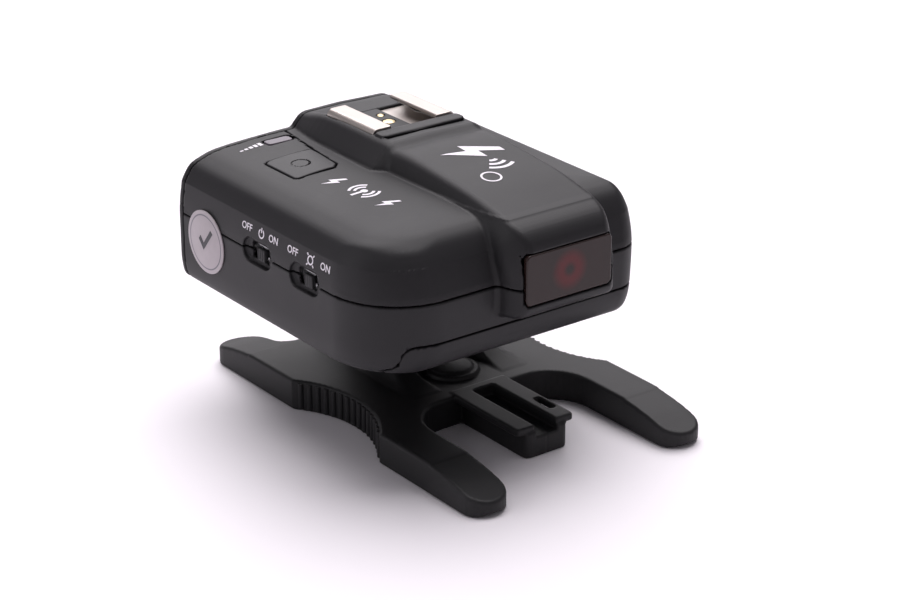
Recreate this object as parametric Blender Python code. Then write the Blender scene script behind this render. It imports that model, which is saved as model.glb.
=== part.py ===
# A wireless flash trigger standing on its small four-legged stand.
# +Z is up, the front of the trigger faces -Y. Lengths below are millimetres, measured from the
# axis that the stand, the trigger's foot, its spine and its hot shoe share; meshes are in metres.
import math

import bmesh
import bpy
from mathutils import Matrix, Vector

MM = 0.001
GAP = 0.3            # clearance between pieces that touch
AXIS_X = 7.05        # shared axis, measured from the middle of the whole object's box

# Stand
STAND_HALF_WIDTH = 34.4
LEG_TIP_Y = 55.2
LEG_WIDTH = 11.2
NOTCH_HALF_LENGTH = 18.2
NOTCH_DEPTH = 6.4
BAY_CORNER = (12.6, 24.3)      # centre of the bay's elliptical corner
BAY_RADII = (10.6, 11.5)
REAR_BAY_Y = 38.8              # the rear bay is shallow, behind the shoe
REAR_BAY_RADIUS = 4.6
STAND_TOP = 7.8
LEG_SLOPE = ((34.0, 7.75), (38.0, 7.45), (42.0, 6.95), (46.0, 6.3), (49.0, 5.6), (52.0, 4.8),
             (55.2, 4.0))       # height of a leg's top by distance from the middle
TONGUE_HALF_WIDTH = 8.4
TONGUE_END_Y = -36.8
DISC_RADIUS = 6.9
DISC_TOP = 9.9
CHANNEL_FLOOR = 7.6
CHANNEL_HALF_WIDTH = 9.6       # for an 18.6 mm foot plate
LIP_HALF_GAP = 6.6
LIP_Z = (10.25, 12.25)
SHOE_Y = (13.7, 38.4)          # stop and rear mouth of the female shoe
BUSH_RADIUS = 5.0
BUSH_BORE = 3.175              # 1/4 inch thread

# Trigger foot
FOOT_Y = 23.0
PLATE = (18.6, 18.0, 2.0)
PLATE_Z = 7.95
NECK = 12.4
STEM_RADIUS = 5.8
RING_Z = (12.9, 18.9)
RING_RADIUS = 12.6
PEDESTAL_Z = (19.2, 29.5)
PIN_REACH = 0.6

# Trigger case
CASE_X = (-48.1, 27.9)
CASE_Y = (-38.0, 43.0)
PART_Z = 46.6                  # seam between the covers
WALL = 1.8
CORNER_RADII = (18.0, 7.0, 0.4, 0.4)      # front left, front right, rear right, rear left
# height, then how far the left side, the right side and the front stand in at that height
CASE_STEPS = ((29.8, 1.7, 3.6, 3.3), (30.6, 0.9, 2.3, 2.0), (32.2, 0.35, 1.4, 1.0),
              (35.4, 0.0, 0.8, 0.2), (46.6, 0.0, 0.3, 0.0), (50.0, 0.25, 0.1, 0.9),
              (54.3, 1.0, 0.4, 2.5), (56.4, 2.1, 1.0, 3.8), (58.1, 3.6, 1.8, 5.2),
              (59.3, 6.3, 2.7, 6.8), (60.3, 10.2, 4.2, 9.0), (60.9, 17.5, 6.8, 12.5),
              (61.3, 28.0, 16.0, 20.0))
# the spine's sections: y, low edge, shoulder and top heights, half widths low and top
SPINE_STEPS = ((8.0, 50.0, 61.2, 64.9, 15.75, 13.0), (-0.9, 50.0, 61.2, 65.8, 15.75, 13.0),
               (-13.4, 50.0, 61.2, 65.0, 15.75, 13.0), (-24.5, 50.0, 60.9, 63.9, 15.75, 13.0),
               (-31.7, 41.0, 58.9, 62.6, 15.75, 12.9), (-37.9, 39.6, 55.5, 61.1, 15.7, 12.8),
               (-41.4, 39.0, 53.5, 59.5, 14.4, 12.3), (-43.6, 39.6, 52.5, 57.3, 13.3, 11.6),
               (-44.5, 40.6, 51.5, 55.6, 12.8, 11.2))
# the hot-shoe hump's sections: y, top height, half widths low and top
HUMP_STEPS = ((2.6, 64.4, 14.9, 12.5), (4.6, 65.5, 16.4, 12.5), (7.2, 66.7, 18.4, 12.6),
              (31.0, 66.6, 17.5, 12.9), (43.5, 64.3, 15.8, 12.6))
DOOR_X = -37.0                 # where the door's seam starts to curve down
DOOR_TOP = 36.8
DOOR_CURVE = 2.9               # radius of each bend in that S curve
DOOR_BACK_Y = (-30.5, -5.5)    # rear edges of the door's front strip and of its floor
WINDOW_X = 12.3
WINDOW_Z = (42.6, 54.8)
SLOT_Y = (10.4, -9.0)          # centres of the switch recesses
SLOT_SIZE = (11.8, 6.0)
KNOB_Y = -1.4                  # the knobs' place in their recesses
BUTTON_BOX = (-34.2, -21.6, 14.4, 27.9)
STATUS_BOX = (-26.8, -19.8, 36.9, 39.9)

# Hot shoe
SHOE_FRAME_Y = (14.6, 33.8)
SHOE_HALF_WIDTH = 12.1
RAIL_INNER = 6.6
SHOE_TOP = 68.0
SHEET = 1.0
SHOE_FLOOR = 64.0

# Rear panel
PANEL_Y = (43.15, 45.0)
DISPLAY_BOX = (-14.0, 20.0, 41.0, 57.0)      # x and z of the window
DIAL_CENTRE = (-31.5, 46.0)
DIAL_RADIUS = 10.5
MENU_BUTTON_X = (-9.5, 3.0, 15.5)
MENU_BUTTON_Z = 36.2

# Inside
CELL_RADIUS = 7.25
CELL_X = (-29.0, 21.5)
CELL_Y = (-27.9, -12.7)
CELL_Z = 40.3
BOARD_Z = (50.6, 52.2)
SCREW_PLACES = ((-41.0, 36.5), (18.5, 36.5), (-42.0, 0.0), (19.5, 0.0))
FOOT_SCREWS = ((-10.0, 15.0), (10.0, 31.0))

FINISHES = {                   # base colour, roughness, metallic
    "satin_black": ((0.018, 0.018, 0.021), 0.46, 0.0),
    "gloss_black": ((0.010, 0.010, 0.012), 0.12, 0.0),
    "rubber_black": ((0.016, 0.016, 0.017), 0.72, 0.0),
    "red_pane": ((0.110, 0.008, 0.010), 0.14, 0.0),
    "lamp_red": ((0.550, 0.020, 0.020), 0.30, 0.0),
    "mirror_cup": ((0.620, 0.600, 0.600), 0.18, 1.0),
    "nickel": ((0.690, 0.610, 0.530), 0.24, 1.0),
    "steel": ((0.480, 0.480, 0.490), 0.34, 1.0),
    "brass": ((0.720, 0.520, 0.250), 0.30, 1.0),
    "board_green": ((0.030, 0.170, 0.080), 0.50, 0.0),
    "smoke_lens": ((0.090, 0.085, 0.090), 0.25, 0.0),
    "display_grey": ((0.300, 0.330, 0.290), 0.35, 0.0),
    "cell_grey": ((0.330, 0.330, 0.340), 0.35, 0.3),
    "seal_silver": ((0.760, 0.730, 0.750), 0.35, 0.0),
    "black_metal": ((0.030, 0.030, 0.032), 0.30, 1.0),
}


# ---------------------------------------------------------------- building blocks

def clear_scene():
    for obj in list(bpy.data.objects):
        bpy.data.objects.remove(obj)


def make_material(name, finish):
    color, roughness, metallic = FINISHES[finish]
    material = bpy.data.materials.new(name)
    material.use_nodes = True
    shader = material.node_tree.nodes["Principled BSDF"]
    shader.inputs["Base Color"].default_value = (*color, 1.0)
    shader.inputs["Roughness"].default_value = roughness
    shader.inputs["Metallic"].default_value = metallic
    material.diffuse_color = (*color, 1.0)
    return material


def add_object(name, mesh, finish):
    """Puts a mesh in the scene; without a finish it is only a cutter."""
    obj = bpy.data.objects.new(name, mesh)
    bpy.context.scene.collection.objects.link(obj)
    obj.parent = bpy.data.objects["shared_axis"]
    if finish:
        mesh.materials.clear()
        mesh.materials.append(make_material(name + "_finish", finish))
    else:
        obj.hide_render = True
        obj.display_type = "WIRE"
    return obj


def from_bmesh(name, bm, finish):
    bmesh.ops.recalc_face_normals(bm, faces=bm.faces)
    mesh = bpy.data.meshes.new(name)
    bm.to_mesh(mesh)
    bm.free()
    mesh.shade_smooth()
    mesh.set_sharp_from_angle(angle=math.radians(32))
    return add_object(name, mesh, finish)


def loft(name, rings, finish=None):
    """A closed solid through rings that have the same number of points."""
    bm = bmesh.new()
    loops = [[bm.verts.new([c * MM for c in point]) for point in ring] for ring in rings]
    for low, high in zip(loops, loops[1:]):
        for i in range(len(low)):
            j = (i + 1) % len(low)
            bm.faces.new((low[i], low[j], high[j], high[i]))
    bm.faces.new(reversed(loops[0]))
    bm.faces.new(loops[-1])
    return from_bmesh(name, bm, finish)


def oriented(u, v, w, axis):
    """The point whose place along axis is w; u and v keep the order x, y, z of the other two."""
    return {"x": (w, u, v), "y": (u, w, v), "z": (u, v, w)}[axis]


def prism(name, outline, low, high, axis="z", finish=None):
    return loft(name, [[oriented(u, v, w, axis) for u, v in outline] for w in (low, high)], finish)


def box(name, x, y, z, finish=None):
    outline = [(x[0], y[0]), (x[1], y[0]), (x[1], y[1]), (x[0], y[1])]
    return prism(name, outline, z[0], z[1], "z", finish)


def arc(centre, radii, start, end, steps):
    """Points on an ellipse between two angles in degrees, both ends included."""
    turns = [math.radians(start + (end - start) * i / steps) for i in range(steps + 1)]
    return [(centre[0] + radii[0] * math.cos(t), centre[1] + radii[1] * math.sin(t)) for t in turns]


def rounded(u, v, radii, steps=4):
    """A rectangle's outline with a radius for each corner, from the low-u, low-v one round."""
    if not isinstance(radii, tuple):
        radii = (radii,) * 4
    corners = ((u[0], v[0], 1, 1, 180), (u[1], v[0], -1, 1, 270),
               (u[1], v[1], -1, -1, 0), (u[0], v[1], 1, -1, 90))
    points = []
    for (cu, cv, du, dv, start), radius in zip(corners, radii):
        centre = (cu + du * radius, cv + dv * radius)
        points += arc(centre, (radius, radius), start, start + 90, steps)
    return points


def disc(name, centre, radius, low, high, axis="z", finish=None, steps=24):
    outline = arc(centre, (radius, radius), 0, 360 - 360 / steps, steps - 1)
    return prism(name, outline, low, high, axis, finish)


def turned(name, profile, centre, axis="z", finish=None, steps=24, hollow=False):
    """A profile of radius and place along the axis, spun round; hollow closes it on itself."""
    rings = []
    for radius, w in profile:
        outline = arc(centre, (radius, radius), 0, 360 - 360 / steps, steps - 1)
        rings.append([oriented(u, v, w, axis) for u, v in outline])
    if not hollow:
        return loft(name, rings, finish)
    bm = bmesh.new()
    loops = [[bm.verts.new([c * MM for c in point]) for point in ring] for ring in rings]
    for k, low in enumerate(loops):
        high = loops[(k + 1) % len(loops)]
        for i in range(steps):
            j = (i + 1) % steps
            bm.faces.new((low[i], low[j], high[j], high[i]))
    return from_bmesh(name, bm, finish)


def combine(obj, operation, *others):
    for other in others:
        modifier = obj.modifiers.new(operation.lower() + "_" + other.name, "BOOLEAN")
        modifier.operation = operation
        modifier.solver = "EXACT"
        modifier.object = other
    return obj


def cut(obj, *cutters):
    return combine(obj, "DIFFERENCE", *cutters)


def join(obj, *others):
    return combine(obj, "UNION", *others)


def set_origin(obj, point):
    """Moves an object's origin to a point and leaves its shape where it is."""
    place = Vector(point) * MM
    obj.data.transform(Matrix.Translation(-place))
    obj.location = place
    return obj


def evaluated_copy(obj):
    """A plain mesh of an object with its modifiers applied."""
    bpy.context.view_layer.update()
    graph = bpy.context.evaluated_depsgraph_get()
    return bpy.data.meshes.new_from_object(obj.evaluated_get(graph))


# ---------------------------------------------------------------- stand

def notch_arc():
    """The thumb notch from its deepest point to the corner at the leg."""
    radius = (NOTCH_HALF_LENGTH ** 2 + NOTCH_DEPTH ** 2) / (2 * NOTCH_DEPTH)
    centre = (STAND_HALF_WIDTH - NOTCH_DEPTH + radius, 0.0)
    spread = math.degrees(math.asin(NOTCH_HALF_LENGTH / radius))
    return arc(centre, (radius, radius), 180, 180 + spread, 6)


def stand_outline():
    """From a notch's deepest point round a leg to the bay, for the front and for the rear."""
    tip = LEG_WIDTH / 2
    tip_centre = (STAND_HALF_WIDTH - tip, -(LEG_TIP_Y - tip))
    leg = notch_arc() + arc(tip_centre, (tip, tip), 0, -180, 10)
    front_bay = arc((BAY_CORNER[0], -BAY_CORNER[1]), BAY_RADII, 0, 90, 7)
    corner = (STAND_HALF_WIDTH - LEG_WIDTH - REAR_BAY_RADIUS, -(REAR_BAY_Y + REAR_BAY_RADIUS))
    rear_bay = arc(corner, (REAR_BAY_RADIUS, REAR_BAY_RADIUS), 0, 90, 6)
    halves = []
    for bay, turn in ((front_bay, 1), (rear_bay, -1)):
        half = leg + bay + [(-x, y) for x, y in reversed(leg + bay)]
        halves.append([(turn * x, turn * y) for x, y in half])
    return halves[0][:-1] + halves[1][:-1]


def stand_side_outline():
    """Side view of the legs: the sloping top and a small lift under each tip."""
    slope = list(LEG_SLOPE) + [(LEG_TIP_Y + 1.0, LEG_SLOPE[-1][1] - 0.4)]
    end = slope[-1][0]
    top = [(y, z) for y, z in reversed(slope)] + [(-y, z) for y, z in slope]
    return [(-end, 1.3), (-52.0, 0.0), (52.0, 0.0), (end, 1.3)] + top


def shoulder_outline():
    """Cross-section of the female shoe's two rails with the sloping wing outside each."""
    inner, outer = CHANNEL_HALF_WIDTH, 13.2
    right = [(inner, 4.0), (inner, LIP_Z[0]), (LIP_HALF_GAP, LIP_Z[0]), (LIP_HALF_GAP, LIP_Z[1]),
             (outer - 1.6, LIP_Z[1]), (outer, LIP_Z[1] - 1.0)]
    return right, outer


def make_rail(side):
    right, outer = shoulder_outline()
    rail = [(side * x, z) for x, z in right + [(outer, 4.0)]]
    return prism("rail_%d" % side, rail, 8.0, SHOE_Y[1], "y")


def make_wing(side):
    """The raised shoulder in front of the rails, sloping down outwards and to the front."""
    wing = [(CHANNEL_HALF_WIDTH, 4.0), (CHANNEL_HALF_WIDTH, LIP_Z[1]), (13.0, LIP_Z[1] - 0.6),
            (18.4, STAND_TOP - 0.7), (18.4, 4.0)]
    body = prism("wing_%d" % side, [(side * x, z) for x, z in wing], -7.0, 13.5, "y")
    slope = [(-12.0, STAND_TOP - 0.6), (-7.0, STAND_TOP), (8.0, LIP_Z[1] + 0.1), (8.0, 20.0),
             (-12.0, 20.0)]
    return cut(body, prism("wing_slope_%d" % side, slope, side * 5.0, side * 25.0, "x"))


def make_tongue():
    """The slotted foot at the front: two plates that overhang a block."""
    plates = prism("tongue_plates", rounded((-TONGUE_HALF_WIDTH, TONGUE_HALF_WIDTH),
                   (TONGUE_END_Y, -10.0), (0.9, 0.9, 0.1, 0.1), 3), 6.1, 8.0)
    block = prism("tongue_block", rounded((-6.3, 6.3), (TONGUE_END_Y - 0.6, -10.0),
                  (1.6, 1.6, 0.1, 0.1), 3), 0.0, 6.5)
    slot = box("tongue_slot", (-3.2, 3.2), (-45.0, -12.6), (5.1, 9.5))
    eye = prism("tongue_eye", rounded((5.4, 7.4), (-31.9, -24.9), 0.95, 4), 5.6, 9.5)
    return plates, block, slot, eye


def make_stand():
    base = prism("stand_base", stand_outline(), -1.0, 12.0, "z", "satin_black")
    side = prism("stand_side", stand_side_outline(), -40.0, 40.0, "x")
    combine(base, "INTERSECT", side)
    plates, block, slot, eye = make_tongue()
    stop = box("shoe_stop", (-CHANNEL_HALF_WIDTH - 0.5, CHANNEL_HALF_WIDTH + 0.5),
               (10.2, SHOE_Y[0]), (5.0, LIP_Z[0] + 0.5))
    boss = turned("boss", [(DISC_RADIUS, 4.0), (DISC_RADIUS, 8.6), (5.8, 9.2), (4.2, 9.7),
                           (1.8, DISC_TOP)], (0.0, 0.0))
    join(base, plates, block, stop, make_wing(1), make_wing(-1))
    join(base, make_rail(1), make_rail(-1), boss)
    groove = box("pin_groove", (-6.2, 6.2), (SHOE_Y[0], 42.0), (6.3, STAND_TOP + 0.5))
    channel = box("channel_floor", (-CHANNEL_HALF_WIDTH, CHANNEL_HALF_WIDTH), (SHOE_Y[0], 42.0),
                  (CHANNEL_FLOOR, STAND_TOP + 0.5))
    pocket = cut(box("underside_pocket", (-19.0, 19.0), (-9.4, 9.4), (-2.0, 3.4)),
                 disc("pocket_core", (0.0, 0.0), 8.2, -3.0, 5.0))
    bore = disc("bush_bore", (0.0, 0.0), BUSH_RADIUS + GAP, -2.0, 6.8)
    cut(base, slot, eye, groove, channel, pocket, bore)
    turned("tripod_bush", [(BUSH_BORE, 0.3), (BUSH_RADIUS, 0.3), (BUSH_RADIUS, 6.4),
                           (BUSH_BORE, 6.4)], (0.0, 0.0), "z", "brass", 24, True)


# ---------------------------------------------------------------- trigger case

def case_ring(z, left, right, front, wall, back):
    """Plan outline of the case at one height."""
    u = (CASE_X[0] + left + wall, CASE_X[1] - right - wall)
    v = (CASE_Y[0] + front + wall, back)
    radii = (max(0.4, CORNER_RADII[0] - left - wall), max(0.4, CORNER_RADII[1] - right - wall),
             CORNER_RADII[2], CORNER_RADII[3])
    outline = []
    corners = ((u[0], v[0], 1, 1, 180, 7), (u[1], v[0], -1, 1, 270, 4),
               (u[1], v[1], -1, -1, 0, 1), (u[0], v[1], 1, -1, 90, 1))
    for (cu, cv, du, dv, start, steps), radius in zip(corners, radii):
        centre = (cu + du * radius, cv + dv * radius)
        outline += arc(centre, (radius, radius), start, start + 90, steps)
    return [(x, y, z) for x, y in outline]


def case_body(name, wall, back):
    """The case without its spine; a wall above zero gives the hollow inside it."""
    low = CASE_STEPS[0][0] + wall
    high = CASE_STEPS[-1][0] - wall
    steps = CASE_STEPS
    if wall:
        steps = [step for step in steps if low < step[0] < high]
        steps = [(low, 0.9, 1.4, 0.9)] + steps[1:] + [(high, 16.0, 9.0, 13.0)]
    return loft(name, [case_ring(*step, wall, back) for step in steps])


def spine(name, wall):
    """The raised ridge that runs down the front and ends round the lamp window."""
    rings = []
    for y, low, shoulder, top, wide, narrow in SPINE_STEPS:
        wide, narrow = wide - wall, narrow - wall * 0.8
        low, top, shoulder = low + wall, top - wall, shoulder - wall * 0.6
        if y < CASE_Y[0]:
            y = max(y, SPINE_STEPS[-1][0] + wall)
        section = [(-wide, low + 1.4), (-wide + 1.4, low), (wide - 1.4, low), (wide, low + 1.4),
                   (wide, shoulder), (narrow + 0.35, top - 0.7), (narrow - 0.5, top),
                   (-narrow + 0.5, top), (-narrow - 0.35, top - 0.7), (-wide, shoulder)]
        if rings and abs(rings[-1][0][1] - y) < 0.2:
            rings.pop()
        rings.append([(x, y, z) for x, z in section])
    return loft(name, rings)


def hump(name, wall):
    """The block under the hot shoe, with its sloping flanks."""
    rings = []
    for y, top, wide, narrow in HUMP_STEPS[2 if wall else 0:]:
        wide, narrow, top = wide - wall, narrow - wall * 0.6, top - wall
        brow = 61.2 - wall
        section = [(-wide, 56.0), (wide, 56.0), (wide, brow), (narrow, top), (-narrow, top),
                   (-wide, brow)]
        shift = wall if y < 20 else 0.0
        rings.append([(x, y + shift, z) for x, z in section])
    return loft(name, rings)


def door_region(name, grow):
    """The space that the battery door takes out of the case."""
    bend, middle = DOOR_CURVE, DOOR_TOP - DOOR_CURVE
    edge = (arc((DOOR_X, middle), (bend + grow, bend + grow), 90, 180, 4)
            + arc((DOOR_X - 2 * bend, middle), (bend - grow, bend - grow), 0, -90, 4)[1:])
    outline = [(32.0, 28.0), (32.0, DOOR_TOP + grow)] + edge + [(edge[-1][0], 28.0)]
    front = prism(name + "_front", outline, -50.0, DOOR_BACK_Y[0] + grow, "y")
    floor = box(name, (DOOR_X - grow, 20.0 + grow), (-40.0, DOOR_BACK_Y[1] + grow), (28.0, 33.0))
    return join(floor, front)


def make_case_shell():
    """Mesh of the whole hollow case, from which the covers and the door are parted."""
    back = CASE_Y[1] - 0.15
    shell = case_body("case_outside", 0.0, back)
    lip = prism("shoe_lip", rounded((-12.2, 12.2), (10.2, 14.2), 1.2, 3), 60.0, 67.5)
    join(shell, spine("spine_outside", 0.0), hump("hump_outside", 0.0), lip)
    hollow = case_body("case_inside", WALL, back + 6.0)
    join(hollow, spine("spine_inside", WALL), hump("hump_inside", WALL))
    cut(shell, hollow)
    cut(shell, box("case_rear", (-60.0, 40.0), (back - 0.01, 60.0), (20.0, 80.0)))
    return evaluated_copy(shell)


def switch_cutters(number, centre):
    """The scooped recess and the slot through the wall for one sliding switch."""
    half, tall = SLOT_SIZE[0] / 2, SLOT_SIZE[1] / 2
    face = CASE_X[0]
    recess = [(face - 2.0, centre - half - 2.0), (face, centre - half), (face + 1.0, centre - 3.6),
              (face + 1.0, centre + 3.6), (face, centre + half), (face - 2.0, centre + half + 2.0)]
    scoop = prism("switch_scoop_%d" % number, recess, PART_Z - tall, PART_Z + tall)
    slot = box("switch_slot_%d" % number, (face - 1.0, face + 4.0), (centre - 3.4, centre + 3.4),
               (PART_Z - 1.9, PART_Z + 1.9))
    return scoop, slot


def make_covers(shell):
    window = prism("window_hole", rounded((-WINDOW_X - GAP, WINDOW_X + GAP),
                   (WINDOW_Z[0] - GAP, WINDOW_Z[1] + GAP), 1.6, 3), -50.0, -42.0, "y")
    switches = [c for i, y in enumerate(SLOT_Y) for c in switch_cutters(i + 1, y)]
    top = add_object("top_cover", shell.copy(), "satin_black")
    cut(top, box("below_seam", (-60, 40), (-60, 60), (20, PART_Z + 0.15)), window, *switches)
    cut(top, *top_cutters())
    bottom = add_object("bottom_cover", shell.copy(), "satin_black")
    cut(bottom, box("above_seam", (-60, 40), (-60, 60), (PART_Z - 0.15, 80)), window, *switches)
    join(bottom, *[disc("screw_boss_%d" % i, place, 3.1, 31.0, 43.0, steps=14)
                   for i, place in enumerate(SCREW_PLACES)])
    cut(bottom, door_region("door_space", 0.0), *bottom_cutters())
    door = add_object("battery_door", shell.copy(), "satin_black")
    combine(door, "INTERSECT", door_region("door_body", -GAP))


def top_cutters():
    x0, x1, y0, y1 = BUTTON_BOX
    button = prism("button_hole", button_outline(GAP), 50.0, 70.0)
    status = box("status_hole", (STATUS_BOX[0] - GAP, STATUS_BOX[1] + GAP),
                 (STATUS_BOX[2] - GAP, STATUS_BOX[3] + GAP), (50.0, 70.0))
    shoe = box("shoe_hole", (-SHOE_HALF_WIDTH - GAP, SHOE_HALF_WIDTH + GAP),
               (SHOE_FRAME_Y[0] - GAP, SHOE_FRAME_Y[1] + GAP), (60.0, 80.0))
    mouth = box("shoe_mouth", (-11.0, 11.0), (SHOE_FRAME_Y[1] - 1.0, 50.0), (65.1, 80.0))
    return button, status, shoe, mouth


def bottom_cutters():
    cutters = []
    for i, place in enumerate(SCREW_PLACES):
        cutters.append(disc("screw_head_hole_%d" % i, place, 2.3, 29.0, 32.6, steps=14))
        cutters.append(disc("screw_hole_%d" % i, place, 1.4, 32.0, 50.0, steps=10))
    for i, place in enumerate(FOOT_SCREWS):
        cutters.append(disc("foot_screw_hole_%d" % i, place, 1.5, 29.0, 34.0, steps=10))
    usb = prism("usb_hole", rounded((9.0, 19.4), (38.2, 42.6), 1.2, 3), 22.0, 30.0, "x")
    jack = disc("jack_hole", (30.5, 40.4), 3.1, 22.0, 30.0, "x", steps=20)
    return cutters + [usb, jack]


def make_rear_panel():
    """The rear face: a plate with a window, three button holes and the dial's bore."""
    rings = []
    for y, inset in ((PANEL_Y[0], 0.0), (PANEL_Y[1] - 0.8, 0.1), (PANEL_Y[1], 1.0)):
        lift = 0.4 - inset
        left = [(CASE_X[0] + step[1] + inset, step[0] + lift * (step[0] > 56.0))
                for step in CASE_STEPS[1:-1]]
        right = [(CASE_X[1] - step[2] - inset, step[0] + lift * (step[0] > 56.0))
                 for step in CASE_STEPS[-3:0:-1]]
        bottom = CASE_STEPS[0][0] + inset
        foot = [(CASE_X[1] - 5.0, bottom), (CASE_X[0] + 4.0, bottom)]
        crown, ridge = CASE_STEPS[-1][0] + 0.3 - inset, HUMP_STEPS[-1][1] - inset
        top = [(-16.0, crown), (-12.4, ridge), (12.4, ridge), (16.0, crown)]
        outline = left + top + right + foot
        rings.append([(x, y, z) for x, z in outline])
    panel = loft("rear_panel", rings, "satin_black")
    x0, x1, z0, z1 = DISPLAY_BOX
    window = prism("display_hole", rounded((x0 - GAP, x1 + GAP), (z0 - GAP, z1 + GAP), 1.5, 3),
                   40.0, 50.0, "y")
    dial = disc("dial_hole", DIAL_CENTRE, DIAL_RADIUS + 0.5, PANEL_Y[1] - 0.6, 50.0, "y", steps=32)
    shaft = disc("shaft_hole", DIAL_CENTRE, 6.2, 40.0, 50.0, "y", steps=20)
    holes = [prism("menu_hole_%d" % i, rounded((x - 4.3, x + 4.3),
             (MENU_BUTTON_Z - 2.1, MENU_BUTTON_Z + 2.1), 1.9, 3), 40.0, 50.0, "y")
             for i, x in enumerate(MENU_BUTTON_X)]
    cut(panel, window, dial, shaft, *holes)


# ---------------------------------------------------------------- lamp, hot shoe

def make_lamp():
    pane = rounded((-WINDOW_X, WINDOW_X), WINDOW_Z, 1.3, 3)
    prism("af_window", pane, -44.4, -43.0, "y", "red_pane")
    middle = (0.0, sum(WINDOW_Z) / 2)
    turned("af_reflector", [(5.4, -42.3), (5.6, -41.9), (2.2, -37.4), (0.9, -37.4), (0.9, -38.6),
                            (1.9, -38.6), (5.0, -42.3)], middle, "y", "mirror_cup", 24, True)
    turned("af_led", [(1.5, -38.95), (1.5, -40.2), (1.1, -41.0), (0.4, -41.4)], middle, "y",
           "lamp_red", 14)


def make_hot_shoe():
    """A folded sheet channel open to the rear, with leaf springs, an insulator and contacts."""
    half, inner, top, floor = SHOE_HALF_WIDTH, RAIL_INNER, SHOE_TOP, SHOE_FLOOR
    right = [(half - 1.2, floor - 0.6), (half - 0.35, floor - 0.25), (half, floor + 0.6),
             (half, top - 1.7), (half - 0.25, top - 0.85), (half - 0.85, top - 0.25),
             (half - 1.7, top), (inner, top), (inner, top - SHEET), (half - 1.9, top - SHEET),
             (half - 1.15, top - 1.4), (half - SHEET, top - 2.0), (half - SHEET, floor + 0.4)]
    outline = right + [(-x, z) for x, z in reversed(right)]
    prism("hot_shoe_frame", outline, SHOE_FRAME_Y[0], SHOE_FRAME_Y[1], "y", "nickel")
    bed = prism("hot_shoe_insulator", rounded((-10.4, 2.4), (15.2, 33.4), 0.5, 2),
                floor + 0.7, floor + 1.2, "z", "satin_black")
    contacts = {1: (-0.5, 24.2, 1.5), 2: (-4.6, 20.0, 0.9), 3: (0.4, 29.0, 0.9), 4: (-4.6, 28.4, 0.9)}
    for number, (x, y, radius) in contacts.items():
        cut(bed, disc("bed_hole_%d" % number, (x, y), radius + GAP, 60.0, 70.0, steps=14))
        turned("hot_shoe_contact_%d" % number, [(radius, floor + 0.7), (radius, floor + 1.15),
               (radius * 0.6, floor + 1.35)], (x, y), "z", "brass", 14)
    for name, side in (("hot_shoe_spring_left", -1), ("hot_shoe_spring_right", 1)):
        leaf = [(17.0, top - 1.3), (20.5, top - 1.3), (24.0, top - 1.75), (27.5, top - 1.3),
                (31.0, top - 1.3), (31.0, top - 1.5), (27.5, top - 1.5), (24.0, top - 1.95),
                (20.5, top - 1.5), (17.0, top - 1.5)]
        prism(name, leaf, side * 7.2, side * 8.9, "x", "steel")


# ---------------------------------------------------------------- controls

def button_outline(grow):
    """The test button's plan: a rectangle with one front corner cut off."""
    x0, x1, y0, y1 = BUTTON_BOX
    x0, x1, y0, y1 = x0 - grow, x1 + grow, y0 - grow, y1 + grow
    slant = 1.8
    return ([(x1, y0 + slant), (x1, y1)] + [(x0 + 0.8, y1), (x0, y1 - 0.8)]
            + [(x0, y0 + 0.8), (x0 + 0.8, y0), (x1 - slant, y0)])


def make_top_controls():
    x0, x1, y0, y1 = BUTTON_BOX
    middle = ((x0 + x1) / 2, (y0 + y1) / 2)
    button = prism("test_button", button_outline(0.0), 58.0, 61.4, "z", "satin_black")
    join(button, disc("test_stem", middle, 2.0, 56.2, 58.5, steps=12))
    set_origin(button, (*middle, 58.0))
    tact = box("test_switch", (middle[0] - 3, middle[0] + 3), (middle[1] - 3, middle[1] + 3),
               (BOARD_Z[1] + GAP, 54.4), "steel")
    join(tact, disc("tact_plunger", middle, 1.6, 54.0, 55.0, steps=12))
    lens = box("status_lens", STATUS_BOX[0:2], STATUS_BOX[2:4], (57.0, 61.1), "smoke_lens")
    return button, lens


def make_side_switches():
    names = ("power_switch", "lamp_switch")
    for name, centre in zip(names, SLOT_Y):
        face = CASE_X[0]
        y = centre + KNOB_Y
        knob = prism(name, rounded((y - 1.5, y + 1.5), (PART_Z - 1.5, PART_Z + 1.5), 0.3, 2),
                     face + 0.15, face + 1.5, "x", "satin_black")
        join(knob, box(name + "_lever", (face + 1.0, face + 3.4), (y - 0.7, y + 0.7),
                       (PART_Z - 0.7, PART_Z + 0.7)))
        set_origin(knob, (face, y, PART_Z))
        case = box(name + "_body", (face + 2.3, face + 6.6), (centre - 5.2, centre + 5.2),
                   (PART_Z - 2.6, PART_Z + 3.4), "steel")
        cut(case, box(name + "_track", (face + 2.0, face + 4.2), (centre - 3.4, centre + 3.4),
                      (PART_Z - 1.1, PART_Z + 1.1)))


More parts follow.
